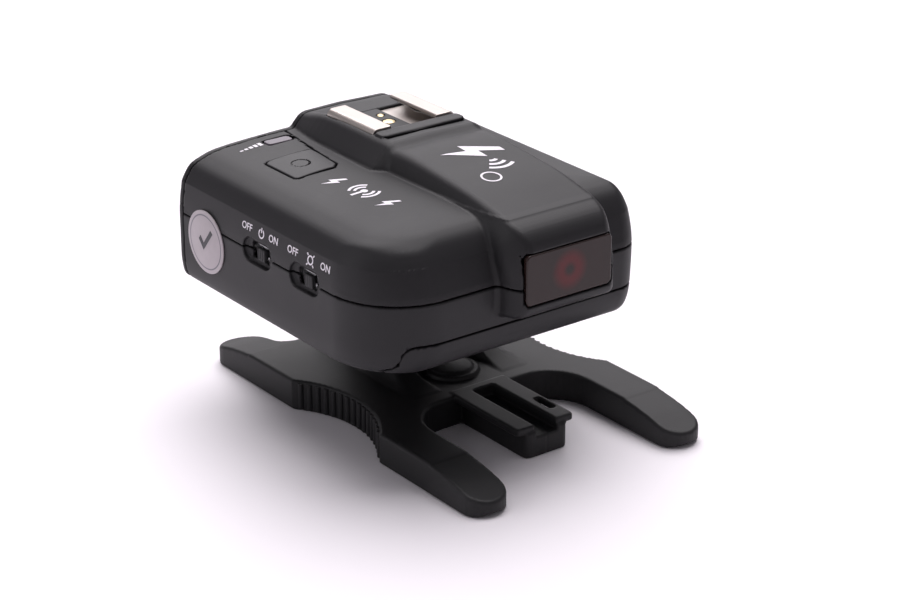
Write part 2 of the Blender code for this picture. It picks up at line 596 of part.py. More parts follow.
def make_rear_controls():
    x0, x1, z0, z1 = DISPLAY_BOX
    prism("display_window", rounded((x0, x1), (z0, z1), 1.2, 3), 44.0, 45.0, "y", "gloss_black")
    box("lcd_module", (x0 + 1.0, x1 - 1.0), (39.8, 42.6), (z0 + 0.6, z1 - 0.6), "display_grey")
    for i, x in enumerate(MENU_BUTTON_X):
        button = prism("menu_button_%d" % (i + 1), rounded((x - 4.0, x + 4.0),
                       (MENU_BUTTON_Z - 1.8, MENU_BUTTON_Z + 1.8), 1.6, 3),
                       42.4, 45.7, "y", "rubber_black")
        set_origin(button, (x, 45.7, MENU_BUTTON_Z))
    dial = turned("select_dial", [(5.3, 45.0), (DIAL_RADIUS - 0.6, 45.0), (DIAL_RADIUS, 45.6),
                                  (DIAL_RADIUS, 46.6), (DIAL_RADIUS - 0.8, 47.4), (5.7, 47.4),
                                  (5.3, 47.0)], DIAL_CENTRE, "y", "satin_black", 32, True)
    join(dial, turned("dial_sleeve", [(5.3, 41.0), (5.9, 41.0), (5.9, 45.5), (5.3, 45.5)],
                      DIAL_CENTRE, "y", None, 32, True))
    set_origin(dial, (DIAL_CENTRE[0], 45.0, DIAL_CENTRE[1]))
    button = turned("set_button", [(2.2, 39.9), (2.2, 43.4), (4.9, 43.4), (4.9, 47.0),
                                   (4.2, 47.5)], DIAL_CENTRE, "y", "satin_black", 20)
    set_origin(button, (DIAL_CENTRE[0], 47.5, DIAL_CENTRE[1]))
    x, z = DIAL_CENTRE
    box("dial_encoder", (x - 6.2, x + 6.2), (34.5, 39.0), (z - 6.2, z + 3.6), "steel")


def make_ports():
    usb = prism("usb_port", rounded((9.6, 18.8), (38.8, 42.0), 1.0, 3), 18.0, 25.6, "x", "steel")
    cut(usb, prism("usb_mouth", rounded((10.2, 18.2), (39.4, 41.4), 0.6, 3), 19.0, 27.0, "x"))
    turned("sync_jack", [(1.3, 25.6), (2.7, 25.6), (2.7, 15.5), (1.3, 15.5)],
           (30.5, 40.4), "x", "black_metal", 20, True)
    disc("seal_sticker", (32.3, 42.6), 7.8, CASE_X[0] - 0.4, CASE_X[0] - GAP, "x",
         "seal_silver", 40)


# ---------------------------------------------------------------- inside

def make_electronics():
    board = [(-43.5, -2.0), (-35.0, -3.0), (21.5, -3.0), (21.5, 38.5), (-43.5, 38.5)]
    prism("main_board", board, BOARD_Z[0], BOARD_Z[1], "z", "board_green")
    box("radio_module", (-4.0, 14.0), (2.0, 13.0), (BOARD_Z[1] + GAP, 54.6), "steel")


def make_battery_bay():
    tray = box("battery_tray", (-34.4, 20.5), (-34.2, -4.2), (37.2, 49.4), "satin_black")
    cut(tray, box("tray_hollow", (-33.4, 25.0), (-37.0, -5.2), (30.0, 48.2)))
    for i, y in enumerate(CELL_Y):
        end = CELL_X[1]
        profile = [(CELL_RADIUS, CELL_X[0]), (CELL_RADIUS, end - 1.2), (2.7, end - 1.2),
                   (2.7, end)]
        turned("battery_cell_%d" % (i + 1), profile, (y, CELL_Z), "x", "cell_grey", 20)
    plate_x = CELL_X[1] + GAP
    box("battery_plate", (plate_x, plate_x + 0.5), (CELL_Y[0] - 5, CELL_Y[0] + 5),
        (CELL_Z - 5, CELL_Z + 5), "steel")
    box("battery_link", (plate_x, plate_x + 0.5), (CELL_Y[1] - 5, CELL_Y[1] + 5),
        (CELL_Z - 5, CELL_Z + 5), "steel")
    spring_x = (-33.0, CELL_X[0] - GAP)
    coils = 3
    profile = []
    for i in range(coils * 2 + 1):
        x = spring_x[0] + (spring_x[1] - spring_x[0]) * i / (coils * 2)
        profile.append((4.6 - 0.35 * i + (0.7 if i % 2 else 0.0), x))
    turned("battery_spring", profile, (CELL_Y[0], CELL_Z), "x", "steel", 16)


def make_screws():
    for i, place in enumerate(SCREW_PLACES):
        turned("case_screw_%d" % (i + 1), [(1.9, 31.4), (1.9, 32.3), (1.1, 32.31), (1.1, 42.0)],
               place, "z", "black_metal", 12)
    for i, place in enumerate(FOOT_SCREWS):
        turned("foot_screw_%d" % (i + 1), [(1.2, 25.2), (1.2, 31.9), (2.4, 31.91), (2.4, 33.0)],
               place, "z", "steel", 12)


# ---------------------------------------------------------------- foot

def contact_places():
    return {1: (0.0, FOOT_Y, 1.3), 2: (-4.2, FOOT_Y + 3.6, 0.8), 3: (4.2, FOOT_Y + 3.6, 0.8),
            4: (4.2, FOOT_Y - 3.6, 0.8)}


def make_foot():
    """The metal foot: a plate for the shoe, its neck and the stem that the ring turns on."""
    half_x, half_y = PLATE[0] / 2, PLATE[1] / 2
    plate_top = PLATE_Z + PLATE[2]
    foot = prism("shoe_foot", rounded((-half_x, half_x), (FOOT_Y - half_y, FOOT_Y + half_y), 1.0, 2),
                 PLATE_Z, plate_top, "z", "steel")
    neck = box("foot_neck", (-NECK / 2, NECK / 2), (FOOT_Y - NECK / 2, FOOT_Y + NECK / 2),
               (plate_top - 0.5, RING_Z[0] - 0.3))
    stem = disc("foot_stem", (0.0, FOOT_Y), STEM_RADIUS, plate_top, PEDESTAL_Z[0] - GAP)
    join(foot, neck, stem)
    for number, (x, y, radius) in contact_places().items():
        cut(foot, disc("pin_hole_%d" % number, (x, y), radius + 0.25, 6.0, 12.0, steps=14))
        pin = turned("contact_pin_%d" % number, [(radius * 0.6, PLATE_Z - PIN_REACH),
                     (radius, PLATE_Z - PIN_REACH + 0.25), (radius, 11.0)], (x, y), "z", "brass", 12)
        set_origin(pin, (x, y, PLATE_Z))
    pin_y = FOOT_Y - 4.4
    cut(foot, disc("lock_hole", (0.0, pin_y), 1.35, 6.0, 12.2, steps=14))
    pin = turned("lock_pin", [(0.8, PLATE_Z + 0.05), (1.1, PLATE_Z + 0.4), (1.1, 11.9)],
                 (0.0, pin_y), "z", "steel", 14)
    set_origin(pin, (0.0, pin_y, PLATE_Z))


def make_lock_ring():
    """A knurled ring: scallops round the rim, a plain bore for the stem."""
    ridges, depth = 20, 0.7
    outline = []
    for i in range(ridges * 2):
        turn = math.radians(360 * i / (ridges * 2))
        radius = RING_RADIUS - (depth if i % 2 else 0.0)
        outline.append((radius * math.cos(turn), FOOT_Y + radius * math.sin(turn)))
    ring = prism("lock_ring", outline, RING_Z[0], RING_Z[1], "z", "satin_black")
    cut(ring, disc("ring_bore", (0.0, FOOT_Y), STEM_RADIUS + 0.25, RING_Z[0] - 2, RING_Z[1] + 2))
    set_origin(ring, (0.0, FOOT_Y, RING_Z[0]))


def make_pedestal():
    """The block between ring and case, wider towards the case."""
    rings = []
    for z, half_x, half_y in ((PEDESTAL_Z[0], 11.0, 11.6), (PEDESTAL_Z[0] + 1.2, 12.2, 12.8),
                              (PEDESTAL_Z[1] - 3.0, 13.6, 14.6), (PEDESTAL_Z[1], 14.4, 15.4)):
        outline = rounded((-half_x, half_x), (FOOT_Y - half_y, FOOT_Y + half_y), 3.0, 3)
        rings.append([(x, y, z) for x, y in outline])
    pedestal = loft("foot_pedestal", rings, "satin_black")
    for i, place in enumerate(FOOT_SCREWS):
        cut(pedestal, disc("pedestal_hole_%d" % i, place, 1.5, 24.8, 32.0, steps=12))


def main():
    clear_scene()
    axis = bpy.data.objects.new("shared_axis", None)
    axis.location = (AXIS_X * MM, 0.0, 0.0)
    bpy.context.scene.collection.objects.link(axis)
    make_stand()
    make_covers(make_case_shell())
    make_rear_panel()
    make_lamp()
    make_hot_shoe()
    make_top_controls()
    make_side_switches()
    make_rear_controls()
    make_ports()
    make_electronics()
    make_battery_bay()
    make_screws()
    make_foot()
    make_lock_ring()
    make_pedestal()


main()
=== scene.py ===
import math

import bmesh
import bpy
import numpy as np
from mathutils import Matrix, Vector


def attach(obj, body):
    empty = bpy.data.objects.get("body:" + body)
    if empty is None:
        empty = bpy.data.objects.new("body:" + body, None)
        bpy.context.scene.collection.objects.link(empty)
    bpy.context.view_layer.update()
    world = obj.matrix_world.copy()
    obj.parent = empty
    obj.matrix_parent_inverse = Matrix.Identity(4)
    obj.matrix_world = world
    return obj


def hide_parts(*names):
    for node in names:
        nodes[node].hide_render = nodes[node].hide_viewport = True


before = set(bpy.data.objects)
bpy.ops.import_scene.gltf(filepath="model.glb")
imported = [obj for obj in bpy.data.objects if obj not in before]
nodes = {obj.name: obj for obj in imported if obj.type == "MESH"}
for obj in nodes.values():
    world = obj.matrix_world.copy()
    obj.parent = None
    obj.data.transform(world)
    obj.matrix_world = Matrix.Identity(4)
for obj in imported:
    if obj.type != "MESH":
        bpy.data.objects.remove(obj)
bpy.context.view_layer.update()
mm = 0.001
axisX = 7.05        # the stand's middle line, in mm; every length below is in mm from it
print("frame loaded")


# shader maths: a wrapped socket with its operators, and one maker of nodes

class Sock:
    def __init__(self, graph, link):
        self.graph, self.link = graph, link
        self.flat = link.type == "VALUE"

    def maths(self, operation, other, turned=False):
        pair = (other, self) if turned else (self, other)
        if self.flat and (not isinstance(other, Sock) or other.flat) and not isinstance(other, tuple):
            return self.graph.make("ShaderNodeMath", {"operation": operation}, {0: pair[0], 1: pair[1]})
        pair = [(p,) * 3 if isinstance(p, (int, float)) else p for p in pair]
        return self.graph.make("ShaderNodeVectorMath", {"operation": operation},
                               {0: pair[0], 1: pair[1]})

    def __add__(self, other): return self.maths("ADD", other)
    def __radd__(self, other): return self.maths("ADD", other, True)
    def __sub__(self, other): return self.maths("SUBTRACT", other)
    def __rsub__(self, other): return self.maths("SUBTRACT", other, True)
    def __mul__(self, other): return self.maths("MULTIPLY", other)
    def __rmul__(self, other): return self.maths("MULTIPLY", other, True)
    def __truediv__(self, other): return self.maths("DIVIDE", other)
    def __pow__(self, other): return self.maths("POWER", other)


class Graph:
    def __init__(self, tree):
        self.tree = tree

    def make(self, kind, settings=None, inputs=None, out=0):
        node = self.tree.nodes.new(kind)
        for key, value in (settings or {}).items():
            if key == "stops":
                ramp = node.color_ramp
                while len(ramp.elements) < len(value):
                    ramp.elements.new(0.5)
                for element, (place, colour) in zip(ramp.elements, value):
                    element.position, element.color = place, colour
            else:
                setattr(node, key, value)
        for key, value in (inputs or {}).items():
            if isinstance(value, Sock):
                self.tree.links.new(value.link, node.inputs[key])
            else:
                node.inputs[key].default_value = value
        return Sock(self, node.outputs[out])

    def place(self):
        return self.make("ShaderNodeTexCoord", out="Object")

    def noise(self, scale, detail=3.0, rough=0.5, at=None):
        return self.make("ShaderNodeTexNoise", {},
                         {"Vector": at or self.place(), "Scale": scale, "Detail": detail,
                          "Roughness": rough})

    def ramp(self, value, low, high):
        return self.make("ShaderNodeMapRange", {"interpolation_type": "SMOOTHSTEP"},
                         {"Value": value, "From Min": low, "From Max": high})

    def mix(self, mask, first, second):
        return self.make("ShaderNodeMix", {"data_type": "RGBA"},
                         {0: mask, 6: first, 7: second}, out=2)

    def split(self, vector, axis):
        return self.make("ShaderNodeSeparateXYZ", {}, {0: vector}, out="XYZ".index(axis))


def material(name, build, **fixed):
    made = bpy.data.materials.new(name)
    made.use_nodes = True
    made.node_tree.nodes.clear()
    graph = Graph(made.node_tree)
    shader = made.node_tree.nodes.new("ShaderNodeBsdfPrincipled")
    out = made.node_tree.nodes.new("ShaderNodeOutputMaterial")
    made.node_tree.links.new(shader.outputs[0], out.inputs[0])
    for key, value in fixed.items():
        shader.inputs[key.replace("_", " ")].default_value = value
    for key, value in build(graph).items():
        socket = shader.inputs[key]
        if isinstance(value, Sock):
            made.node_tree.links.new(value.link, socket)
        else:
            socket.default_value = value
    return made


def bumped(graph, height, strength, distance):
    return graph.make("ShaderNodeBump", {}, {"Strength": strength, "Distance": distance * mm,
                                            "Height": height})


mouldedLook = {"dark": (0.011, 0.0105, 0.012, 1), "light": (0.016, 0.015, 0.0175, 1),
               "grainSize": 2600.0, "grainDepth": 0.05, "rough": 0.43, "roughSpread": 0.10}
plastic = {"Specular_IOR_Level": 0.33}
sealShape = {"at": (32.3, 42.6), "radius": 7.8, "line": (6.45, 6.6, 6.8, 6.95)}   # y and z
lampShape = {"half": 12.3, "z": (42.6, 54.8), "y": (-44.4, -43.0), "middle": 48.9}


def moulded(values):
    def build(g):
        cloud, grain = g.noise(45.0, 4.0), g.noise(values["grainSize"], 2.0, 0.6)
        rub = g.ramp(g.noise(260.0, 5.0, 0.65), 0.55, 0.75)
        return {"Base Color": g.mix(cloud * 0.7 + grain * 0.3, values["dark"], values["light"]),
                "Roughness": values["rough"] + cloud * values["roughSpread"] - rub * 0.03,
                "Normal": bumped(g, grain, 0.35, values["grainDepth"])}
    return build


def printed(g):
    wear = g.ramp(g.noise(900.0, 3.0), 0.25, 0.45)
    return {"Base Color": g.mix(wear, (0.70, 0.66, 0.72, 1), (0.86, 0.82, 0.88, 1)),
            "Roughness": 0.5 + g.noise(300.0) * 0.15}


def brushed(colour, other, rough):
    def build(g):
        place = g.place()
        streak = g.noise(1.0, 4.0, 0.6, place * (2600.0, 90.0, 900.0))
        smudge = g.noise(160.0, 3.0)
        return {"Base Color": g.mix(smudge, colour, other),
                "Roughness": rough + streak * 0.10 + smudge * 0.06,
                "Normal": bumped(g, streak, 0.12, 0.02)}
    return build


def glossy(colour, other, rough):
    def build(g):
        cloud = g.noise(120.0, 3.0)
        return {"Base Color": g.mix(cloud, colour, other), "Roughness": rough + cloud * 0.05}
    return build


def lampPane(g):
    place = g.place()
    x = g.split(place, "X") / mm - axisX
    z = g.split(place, "Z") / mm - lampShape["middle"]
    away = (x * x + z * z) ** 0.5
    ring = g.ramp(away, 0.5, 2.2) * (1.0 - g.ramp(away, 2.6, 5.6))
    shade = g.mix(g.noise(70.0, 2.0), (0.020, 0.011, 0.010, 1), (0.026, 0.014, 0.013, 1))
    return {"Base Color": g.mix(ring * 0.9, shade, (0.10, 0.008, 0.011, 1)),
            "Roughness": 0.20 + g.noise(220.0) * 0.06}


def sealFace(g):
    place = g.place()
    y = g.split(place, "Y") / mm - sealShape["at"][0]
    z = g.split(place, "Z") / mm - sealShape["at"][1]
    away = (y * y + z * z) ** 0.5
    line = (g.ramp(away, *sealShape["line"][:2])
            * (1.0 - g.ramp(away, *sealShape["line"][2:])))
    foil = g.mix(g.noise(400.0), (0.40, 0.36, 0.38, 1), (0.48, 0.43, 0.46, 1))
    return {"Base Color": g.mix(line, foil, (0.16, 0.15, 0.18, 1)),
            "Roughness": 0.34 + g.noise(700.0) * 0.12}


def ribbedRubber(g):
    speck = g.noise(3000.0, 2.0)
    return {"Base Color": g.mix(speck, (0.016, 0.016, 0.018, 1), (0.026, 0.026, 0.028, 1)),
            "Roughness": 0.55 + speck * 0.12, "Normal": bumped(g, speck, 0.3, 0.04)}


def circuitBoard(g):
    track = g.ramp(g.noise(500.0, 1.0), 0.5, 0.52)
    return {"Base Color": g.mix(track, (0.012, 0.10, 0.045, 1), (0.03, 0.20, 0.09, 1)),
            "Roughness": 0.4 + track * 0.1}


def cellWrap(g):
    band = g.ramp(g.split(g.place(), "X") / mm, 24.0, 24.4)
    return {"Base Color": g.mix(band, (0.09, 0.10, 0.11, 1), (0.45, 0.40, 0.30, 1)),
            "Roughness": 0.3 + g.noise(300.0) * 0.1}


standLook = dict(mouldedLook, dark=(0.009, 0.009, 0.010, 1), light=(0.014, 0.0135, 0.015, 1),
                 rough=0.46)
buttonLook = dict(mouldedLook, light=(0.018, 0.017, 0.020, 1), rough=0.35)
shell = material("caseShell", moulded(mouldedLook), **plastic)
standSkin = material("standShell", moulded(standLook), **plastic)
keySkin = material("keyShell", moulded(buttonLook), **plastic)
rubber = material("keyRubber", ribbedRubber)
ink = material("whiteInk", printed)
nickel = material("shoeNickel", brushed((0.50, 0.455, 0.42, 1), (0.58, 0.53, 0.50, 1), 0.30),
                  Metallic=1.0)
steel = material("footSteel", brushed((0.50, 0.50, 0.51, 1), (0.60, 0.60, 0.61, 1), 0.28),
                 Metallic=1.0)
brass = material("contactBrass", brushed((0.74, 0.58, 0.32, 1), (0.80, 0.66, 0.42, 1), 0.22),
                 Metallic=1.0)
darkMetal = material("darkMetal", brushed((0.05, 0.05, 0.055, 1), (0.09, 0.09, 0.095, 1), 0.30),
                     Metallic=1.0)
pane = material("lampPane", lampPane, **plastic)
lampLens = material("lampLens", glossy((0.50, 0.02, 0.02, 1), (0.62, 0.04, 0.03, 1), 0.2))
mirror = material("lampCup", brushed((0.70, 0.68, 0.68, 1), (0.76, 0.74, 0.74, 1), 0.14),
                  Metallic=1.0)
blackGlass = material("displayGlass", glossy((0.010, 0.010, 0.012, 1), (0.014, 0.014, 0.017, 1),
                                             0.06), Coat_Weight=0.6, Coat_Roughness=0.03)
paleLens = material("statusLens", glossy((0.13, 0.11, 0.135, 1), (0.16, 0.135, 0.165, 1), 0.3))
seal = material("sealFoil", sealFace)
board = material("circuitBoard", circuitBoard)
wrap = material("cellWrap", cellWrap)
greyPanel = material("displayPanel", glossy((0.28, 0.31, 0.26, 1), (0.32, 0.35, 0.30, 1), 0.3))
print("materials made")


# rounded solids are fields: below zero is inside, and lengths are in mm

def meet(a, b, r=0.0):       # intersection, its edge rounded by r
    if np.ndim(r) == 0 and r <= 0:
        return np.maximum(a, b)
    return (np.minimum(np.maximum(a, b), -r)
            + np.hypot(np.maximum(a + r, 0), np.maximum(b + r, 0)))


def fuse(a, b, r=0.0):       # union, its corner filled by r
    if np.ndim(r) == 0 and r <= 0:
        return np.minimum(a, b)
    return (np.maximum(np.minimum(a, b), r)
            - np.hypot(np.maximum(r - a, 0), np.maximum(r - b, 0)))


def carve(a, b, r=0.0):
    return meet(a, -b, r)


def between(v, low, high):
    return np.maximum(low - v, v - high)


def block(x, y, z, xs, ys, zs, r=0.3, plan=0.3):
    flat = meet(between(x, *xs), between(y, *ys), plan)
    return meet(flat, between(z, *zs), r)


def round2(u, v, us, vs, r):
    return meet(between(u, *us), between(v, *vs), r)


def curve(table, steps=8):   # Catmull-Rom through rows of numbers, denser
    rows = np.array(table, float)
    rows = np.vstack([2 * rows[0] - rows[1], rows, 2 * rows[-1] - rows[-2]])
    out = []
    for k in range(1, len(rows) - 2):
        a, b, c, d = rows[k - 1:k + 3]
        for t in np.arange(steps) / steps:
            out.append(0.5 * (2 * b + (c - a) * t + (2 * a - 5 * b + 4 * c - d) * t ** 2
                              + (3 * b - a - 3 * c + d) * t ** 3))
    return np.array(out + [rows[-2]])


def outlineDistance(points, x, y):   # signed distance to a closed outline
    best, side = np.full(np.broadcast(x, y).shape, 1e9), False
    ends = np.roll(points, -1, axis=0)
    for (ax, ay), (bx, by) in zip(points, ends):
        ux, uy = bx - ax, by - ay
        t = np.clip(((x - ax) * ux + (y - ay) * uy) / (ux * ux + uy * uy + 1e-12), 0, 1)
        best = np.minimum(best, np.hypot(x - ax - t * ux, y - ay - t * uy))
        if ay != by:
            side = side ^ (((ay > y) != (by > y)) & (x < ax + ux * (y - ay) / uy))
    return np.where(side, -best, best)


def skin(field, low, high, step):
    axes = [np.arange(a, b + step, step) for a, b in zip(low, high)]
    value = field(*np.meshgrid(*axes, indexing="ij", sparse=True))
    value = np.broadcast_to(value, tuple(len(a) for a in axes)).astype(float)
    inside = value < 0
    shape = tuple(n - 1 for n in inside.shape)

    def corner(array, i, j, k):
        return array[i:i + shape[0], j:j + shape[1], k:k + shape[2]]

    count = sum(corner(inside, i, j, k).astype(int)
                for i in (0, 1) for j in (0, 1) for k in (0, 1))
    mixed = (count > 0) & (count < 8)
    number = np.full(shape, -1)
    number[mixed] = np.arange(mixed.sum())
    total, hits = np.zeros((mixed.sum(), 3)), np.zeros(mixed.sum())
    for axis in range(3):
        for u in (0, 1):
            for v in (0, 1):
                a = [u, v]
                a.insert(axis, 0)
                b = list(a)
                b[axis] = 1
                va, vb = corner(value, *a)[mixed], corner(value, *b)[mixed]
                cross = (va < 0) != (vb < 0)
                t = np.where(cross, va / np.where(cross, va - vb, 1), 0)
                spot = np.array(a, float) + np.outer(t, np.array(b) - np.array(a))
                total += spot * cross[:, None]
                hits += cross
    cell = np.argwhere(mixed)
    points = np.array(low) + (cell + total / hits[:, None]) * step

    def slope(p, e=0.02):
        f = field(*p.T)
        return f, np.stack([(field(*(p + e * np.eye(3)[i]).T) - f) / e for i in range(3)], 1)

    for turn in range(4):
        f, g = slope(points)
        move = g * (f / np.maximum((g ** 2).sum(1), 0.05))[:, None]
        size = np.linalg.norm(move, axis=1, keepdims=True)
        points = points - move * np.minimum(1, step * 0.35 / np.maximum(size, 1e-9))
    normals = slope(points)[1]
    normals /= np.maximum(np.linalg.norm(normals, axis=1, keepdims=True), 1e-9)
    faces = []
    for axis in range(3):
        a, b = [i for i in range(3) if i != axis]
        lower = [slice(1, -1)] * 3
        lower[axis] = slice(0, -1)
        upper = list(lower)
        upper[axis] = slice(1, None)
        first, second = inside[tuple(lower)], inside[tuple(upper)]
        for change, flip in ((first & ~second, False), (~first & second, True)):
            at = np.argwhere(change)
            at[:, a] += 1
            at[:, b] += 1
            corners = []
            for da, db in ((0, 0), (1, 0), (1, 1), (0, 1)):
                c = at.copy()
                c[:, a] -= 1 - da
                c[:, b] -= 1 - db
                corners.append(number[tuple(c.T)])
            quad = np.stack(corners, 1)
            if flip != (axis == 1):
                quad = quad[:, ::-1]
            faces.append(quad)
    return points, np.vstack(faces), normals


def addMesh(name, points, faces, look, normals=None, smooth=True):
    mesh = bpy.data.meshes.new(name)
    spots = (np.asarray(points, float) + (axisX, 0, 0)) * mm
    mesh.from_pydata(spots.tolist(), [], [list(map(int, f)) for f in faces])
    mesh.polygons.foreach_set("use_smooth", [smooth] * len(mesh.polygons))
    mesh.validate()
    if normals is not None and len(normals) == len(mesh.vertices):
        mesh.normals_split_custom_set_from_vertices(normals.tolist())
    mesh.materials.append(look)
    piece = bpy.data.objects.new(name, mesh)
    bpy.context.scene.collection.objects.link(piece)
    return piece


def solid(name, field, low, high, step, look):
    points, faces, normals = skin(field, low, high, step)
    piece = addMesh(name, points, faces, look, normals)
    print("  %s: %d faces" % (name, len(faces)))
    return piece


def rideFor(piece, body, *stoodFor):
    if stoodFor:
        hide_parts(*stoodFor)
    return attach(piece, body)


case = {
    "left": -48.1, "right": 27.9, "front": -38.0, "back": 42.85, "seam": 46.6,
    "floor": 29.8, "corner": (18.0, 7.0), "split": -5.0,     # front corners, left and right
    # heights, and how far the left, right and front sides stand in at each
    "steps": ((29.4, 3.4, 6.0, 5.0), (29.8, 1.7, 3.6, 3.3), (30.6, 0.9, 2.3, 2.0),
              (32.2, 0.35, 1.4, 1.0), (35.4, 0.0, 0.8, 0.2), (41.0, 0.0, 0.45, 0.0),
              (46.6, 0.0, 0.3, 0.0), (50.0, 0.25, 0.1, 0.9), (53.9, 0.85, 0.35, 2.3),
              (54.6, 1.05, 0.45, 2.65), (56.4, 2.1, 1.0, 3.8), (58.1, 3.6, 1.8, 5.2),
              (59.3, 6.3, 2.7, 6.8), (60.3, 10.2, 4.2, 9.0), (60.9, 17.5, 6.8, 12.5),
              (61.3, 28.0, 16.0, 20.0), (61.6, 42.0, 26.0, 34.0), (61.9, 60.0, 40.0, 50.0)),
    "wall": 1.8, "gap": 0.15, "rowGap": 0.1,
}
roughRows = curve(case["steps"], 10)
roughRows[:, 0] = np.maximum.accumulate(roughRows[:, 0])
evenZ = np.arange(case["steps"][0][0], case["steps"][-1][0], case["rowGap"])
caseRows = np.stack([np.interp(evenZ, roughRows[:, 0], roughRows[:, i]) for i in range(4)], 1)
caseSlope = [np.hypot(1, np.gradient(caseRows[:, i], case["rowGap"])) for i in (1, 2, 3)]


def caseSide(z, i):          # how far side i stands in at a height, and its slope there
    return (np.interp(z, caseRows[:, 0], caseRows[:, i]),
            np.interp(z, caseRows[:, 0], caseSlope[i - 1]))


def caseBody(x, y, z, back):
    left, ls = caseSide(z, 1)
    right, rs = caseSide(z, 2)
    front, fs = caseSide(z, 3)
    dl = (case["left"] + left - x) / ls
    dr = (x - case["right"] + right) / rs
    df = (case["front"] + front - y) / fs
    big = np.maximum(case["corner"][0] - (left + front) / 2, 0.5) / np.sqrt(ls * fs)
    small = np.maximum(case["corner"][1] - (right + front) / 2, 0.5) / np.sqrt(rs * fs)
    nose = np.where(x < case["split"], meet(dl, df, big), meet(dr, df, small))
    body = np.maximum(nose, np.maximum(dl, dr))
    body = np.maximum(body, case["floor"] - z)
    return meet(body, y - back, 0.3)


spineShape = {   # y, top height, half width low, half width at the top
    "rows": ((14.0, 64.9, 15.75, 13.0), (8.0, 65.3, 15.75, 13.0), (-0.9, 65.8, 15.75, 13.0),
             (-13.4, 65.0, 15.75, 13.0), (-24.5, 63.9, 15.75, 13.0), (-31.7, 62.6, 15.75, 12.9),
             (-37.9, 61.1, 15.7, 12.8), (-41.4, 59.5, 14.7, 12.2), (-43.6, 57.3, 13.5, 11.4),
             (-46.0, 53.0, 12.0, 10.0)),
    "front": -44.5, "low": 39.2, "back": 14.0, "rowGap": 0.5,
}
spineRows = curve(spineShape["rows"], 8)[::-1]
evenY = np.arange(-47.0, 15.0, spineShape["rowGap"])
spineRows = np.stack([np.interp(evenY, spineRows[:, 0], spineRows[:, i]) for i in range(4)], 1)
for turn in range(6):        # takes the kinks out of the run of sections
    spineRows[1:-1, 1:] = (spineRows[:-2, 1:] + 2 * spineRows[1:-1, 1:] + spineRows[2:, 1:]) / 4


def spineBody(x, y, z):
    top = np.interp(y, spineRows[:, 0], spineRows[:, 1])
    wide = np.interp(y, spineRows[:, 0], spineRows[:, 2])
    narrow = np.interp(y, spineRows[:, 0], spineRows[:, 3])
    rise = np.interp(y, spineRows[:, 0], np.gradient(spineRows[:, 1], spineShape["rowGap"]))
    brow = top - 3.7 - np.clip(-30 - y, 0, 14) * 0.16
    run, lift = wide - narrow, top - brow
    flank = ((np.abs(x) - narrow) * lift + (z - top) * run) / np.hypot(run, lift)
    body = meet(meet(np.abs(x) - wide, flank, 2.0), (z - top) / np.hypot(1, rise), 1.0)
    low = spineShape["low"] + np.clip(-41.4 - y, 0, 4) ** 2 * 0.16
    body = meet(body, low - z, 1.4)
    return np.maximum(meet(body, spineShape["front"] - y, 1.2), y - spineShape["back"])


humpShape = {    # y, top height, half width at the brow, half width at the top
    "rows": ((2.2, 64.6, 15.2, 12.8), (3.4, 65.0, 15.8, 12.7), (4.6, 65.6, 16.6, 12.6),
             (5.8, 66.3, 17.6, 12.5), (7.2, 66.8, 18.4, 12.6), (9.5, 66.8, 18.3, 12.7),
             (31.0, 66.6, 17.5, 12.9), (43.0, 64.4, 15.8, 12.6), (50.0, 63.2, 15.0, 12.5)),
    "brow": 61.2, "front": 3.2, "floor": 50.0,
}
humpRows = curve(humpShape["rows"], 6)


def humpBody(x, y, z):
    top = np.interp(y, humpRows[:, 0], humpRows[:, 1])
    wide = np.interp(y, humpRows[:, 0], humpRows[:, 2])
    narrow = np.interp(y, humpRows[:, 0], humpRows[:, 3])
    run, lift = wide - narrow, top - humpShape["brow"]
    flank = ((np.abs(x) - narrow) * lift + (z - top) * run) / np.hypot(run, lift)
    body = meet(meet(np.abs(x) - wide, flank, 1.0), z - top, 0.8)
    return np.maximum(meet(body, humpShape["front"] - y, 1.2), humpShape["floor"] - z)


shoeBar = {"x": (-12.3, 12.3), "y": (10.2, 14.3), "z": (60.0, 67.6),    # in front of the shoe
           "grooveX": (-11.4, 11.4), "grooveY": (9.6, 10.6), "grooveZ": (66.65, 67.05)}


def outerCase(x, y, z, back=case["back"]):
    body = fuse(caseBody(x, y, z, back), spineBody(x, y, z), 1.1)
    hump = np.maximum(humpBody(x, y, z), y - back)
    body = fuse(body, hump, 0.9)
    bar = block(x, y, z, shoeBar["x"], shoeBar["y"], shoeBar["z"], 0.5, 1.5)
    groove = block(x, y, z, shoeBar["grooveX"], shoeBar["grooveY"], shoeBar["grooveZ"], 0.15, 0.3)
    return carve(fuse(body, bar, 0.15), groove, 0.1)


windowHole = {"x": (-12.6, 12.6), "z": (42.3, 55.1), "back": -40.0, "corner": 1.6}


def hollow(x, y, z):
    wall = case["wall"]
    room = np.maximum(caseBody(x, y, z, 60.0) + wall, case["floor"] + wall - z)
    nose = block(x, y, z, windowHole["x"], (-42.6, -20.0), windowHole["z"], 1.0, 1.0)
    rear = block(x, y, z, (-13.0, 13.0), (9.2, 60.0), (50.0, 61.8), 1.0, 1.0)
    return np.minimum(np.minimum(room, nose), rear)


def frontOpenings(x, y, z):
    hole = round2(x, z, windowHole["x"], windowHole["z"], windowHole["corner"])
    return np.maximum(hole, y - windowHole["back"])


switches = {"centres": (10.4, -9.0), "half": 5.9, "z": (43.6, 49.6),
            "slotHalf": 3.4, "slotZ": (44.7, 48.5), "slotEnd": -44.0,
            "knob": -1.4, "knobX": (-47.95, -46.6), "knobHalf": 1.5, "knobZ": (45.1, 48.1)}


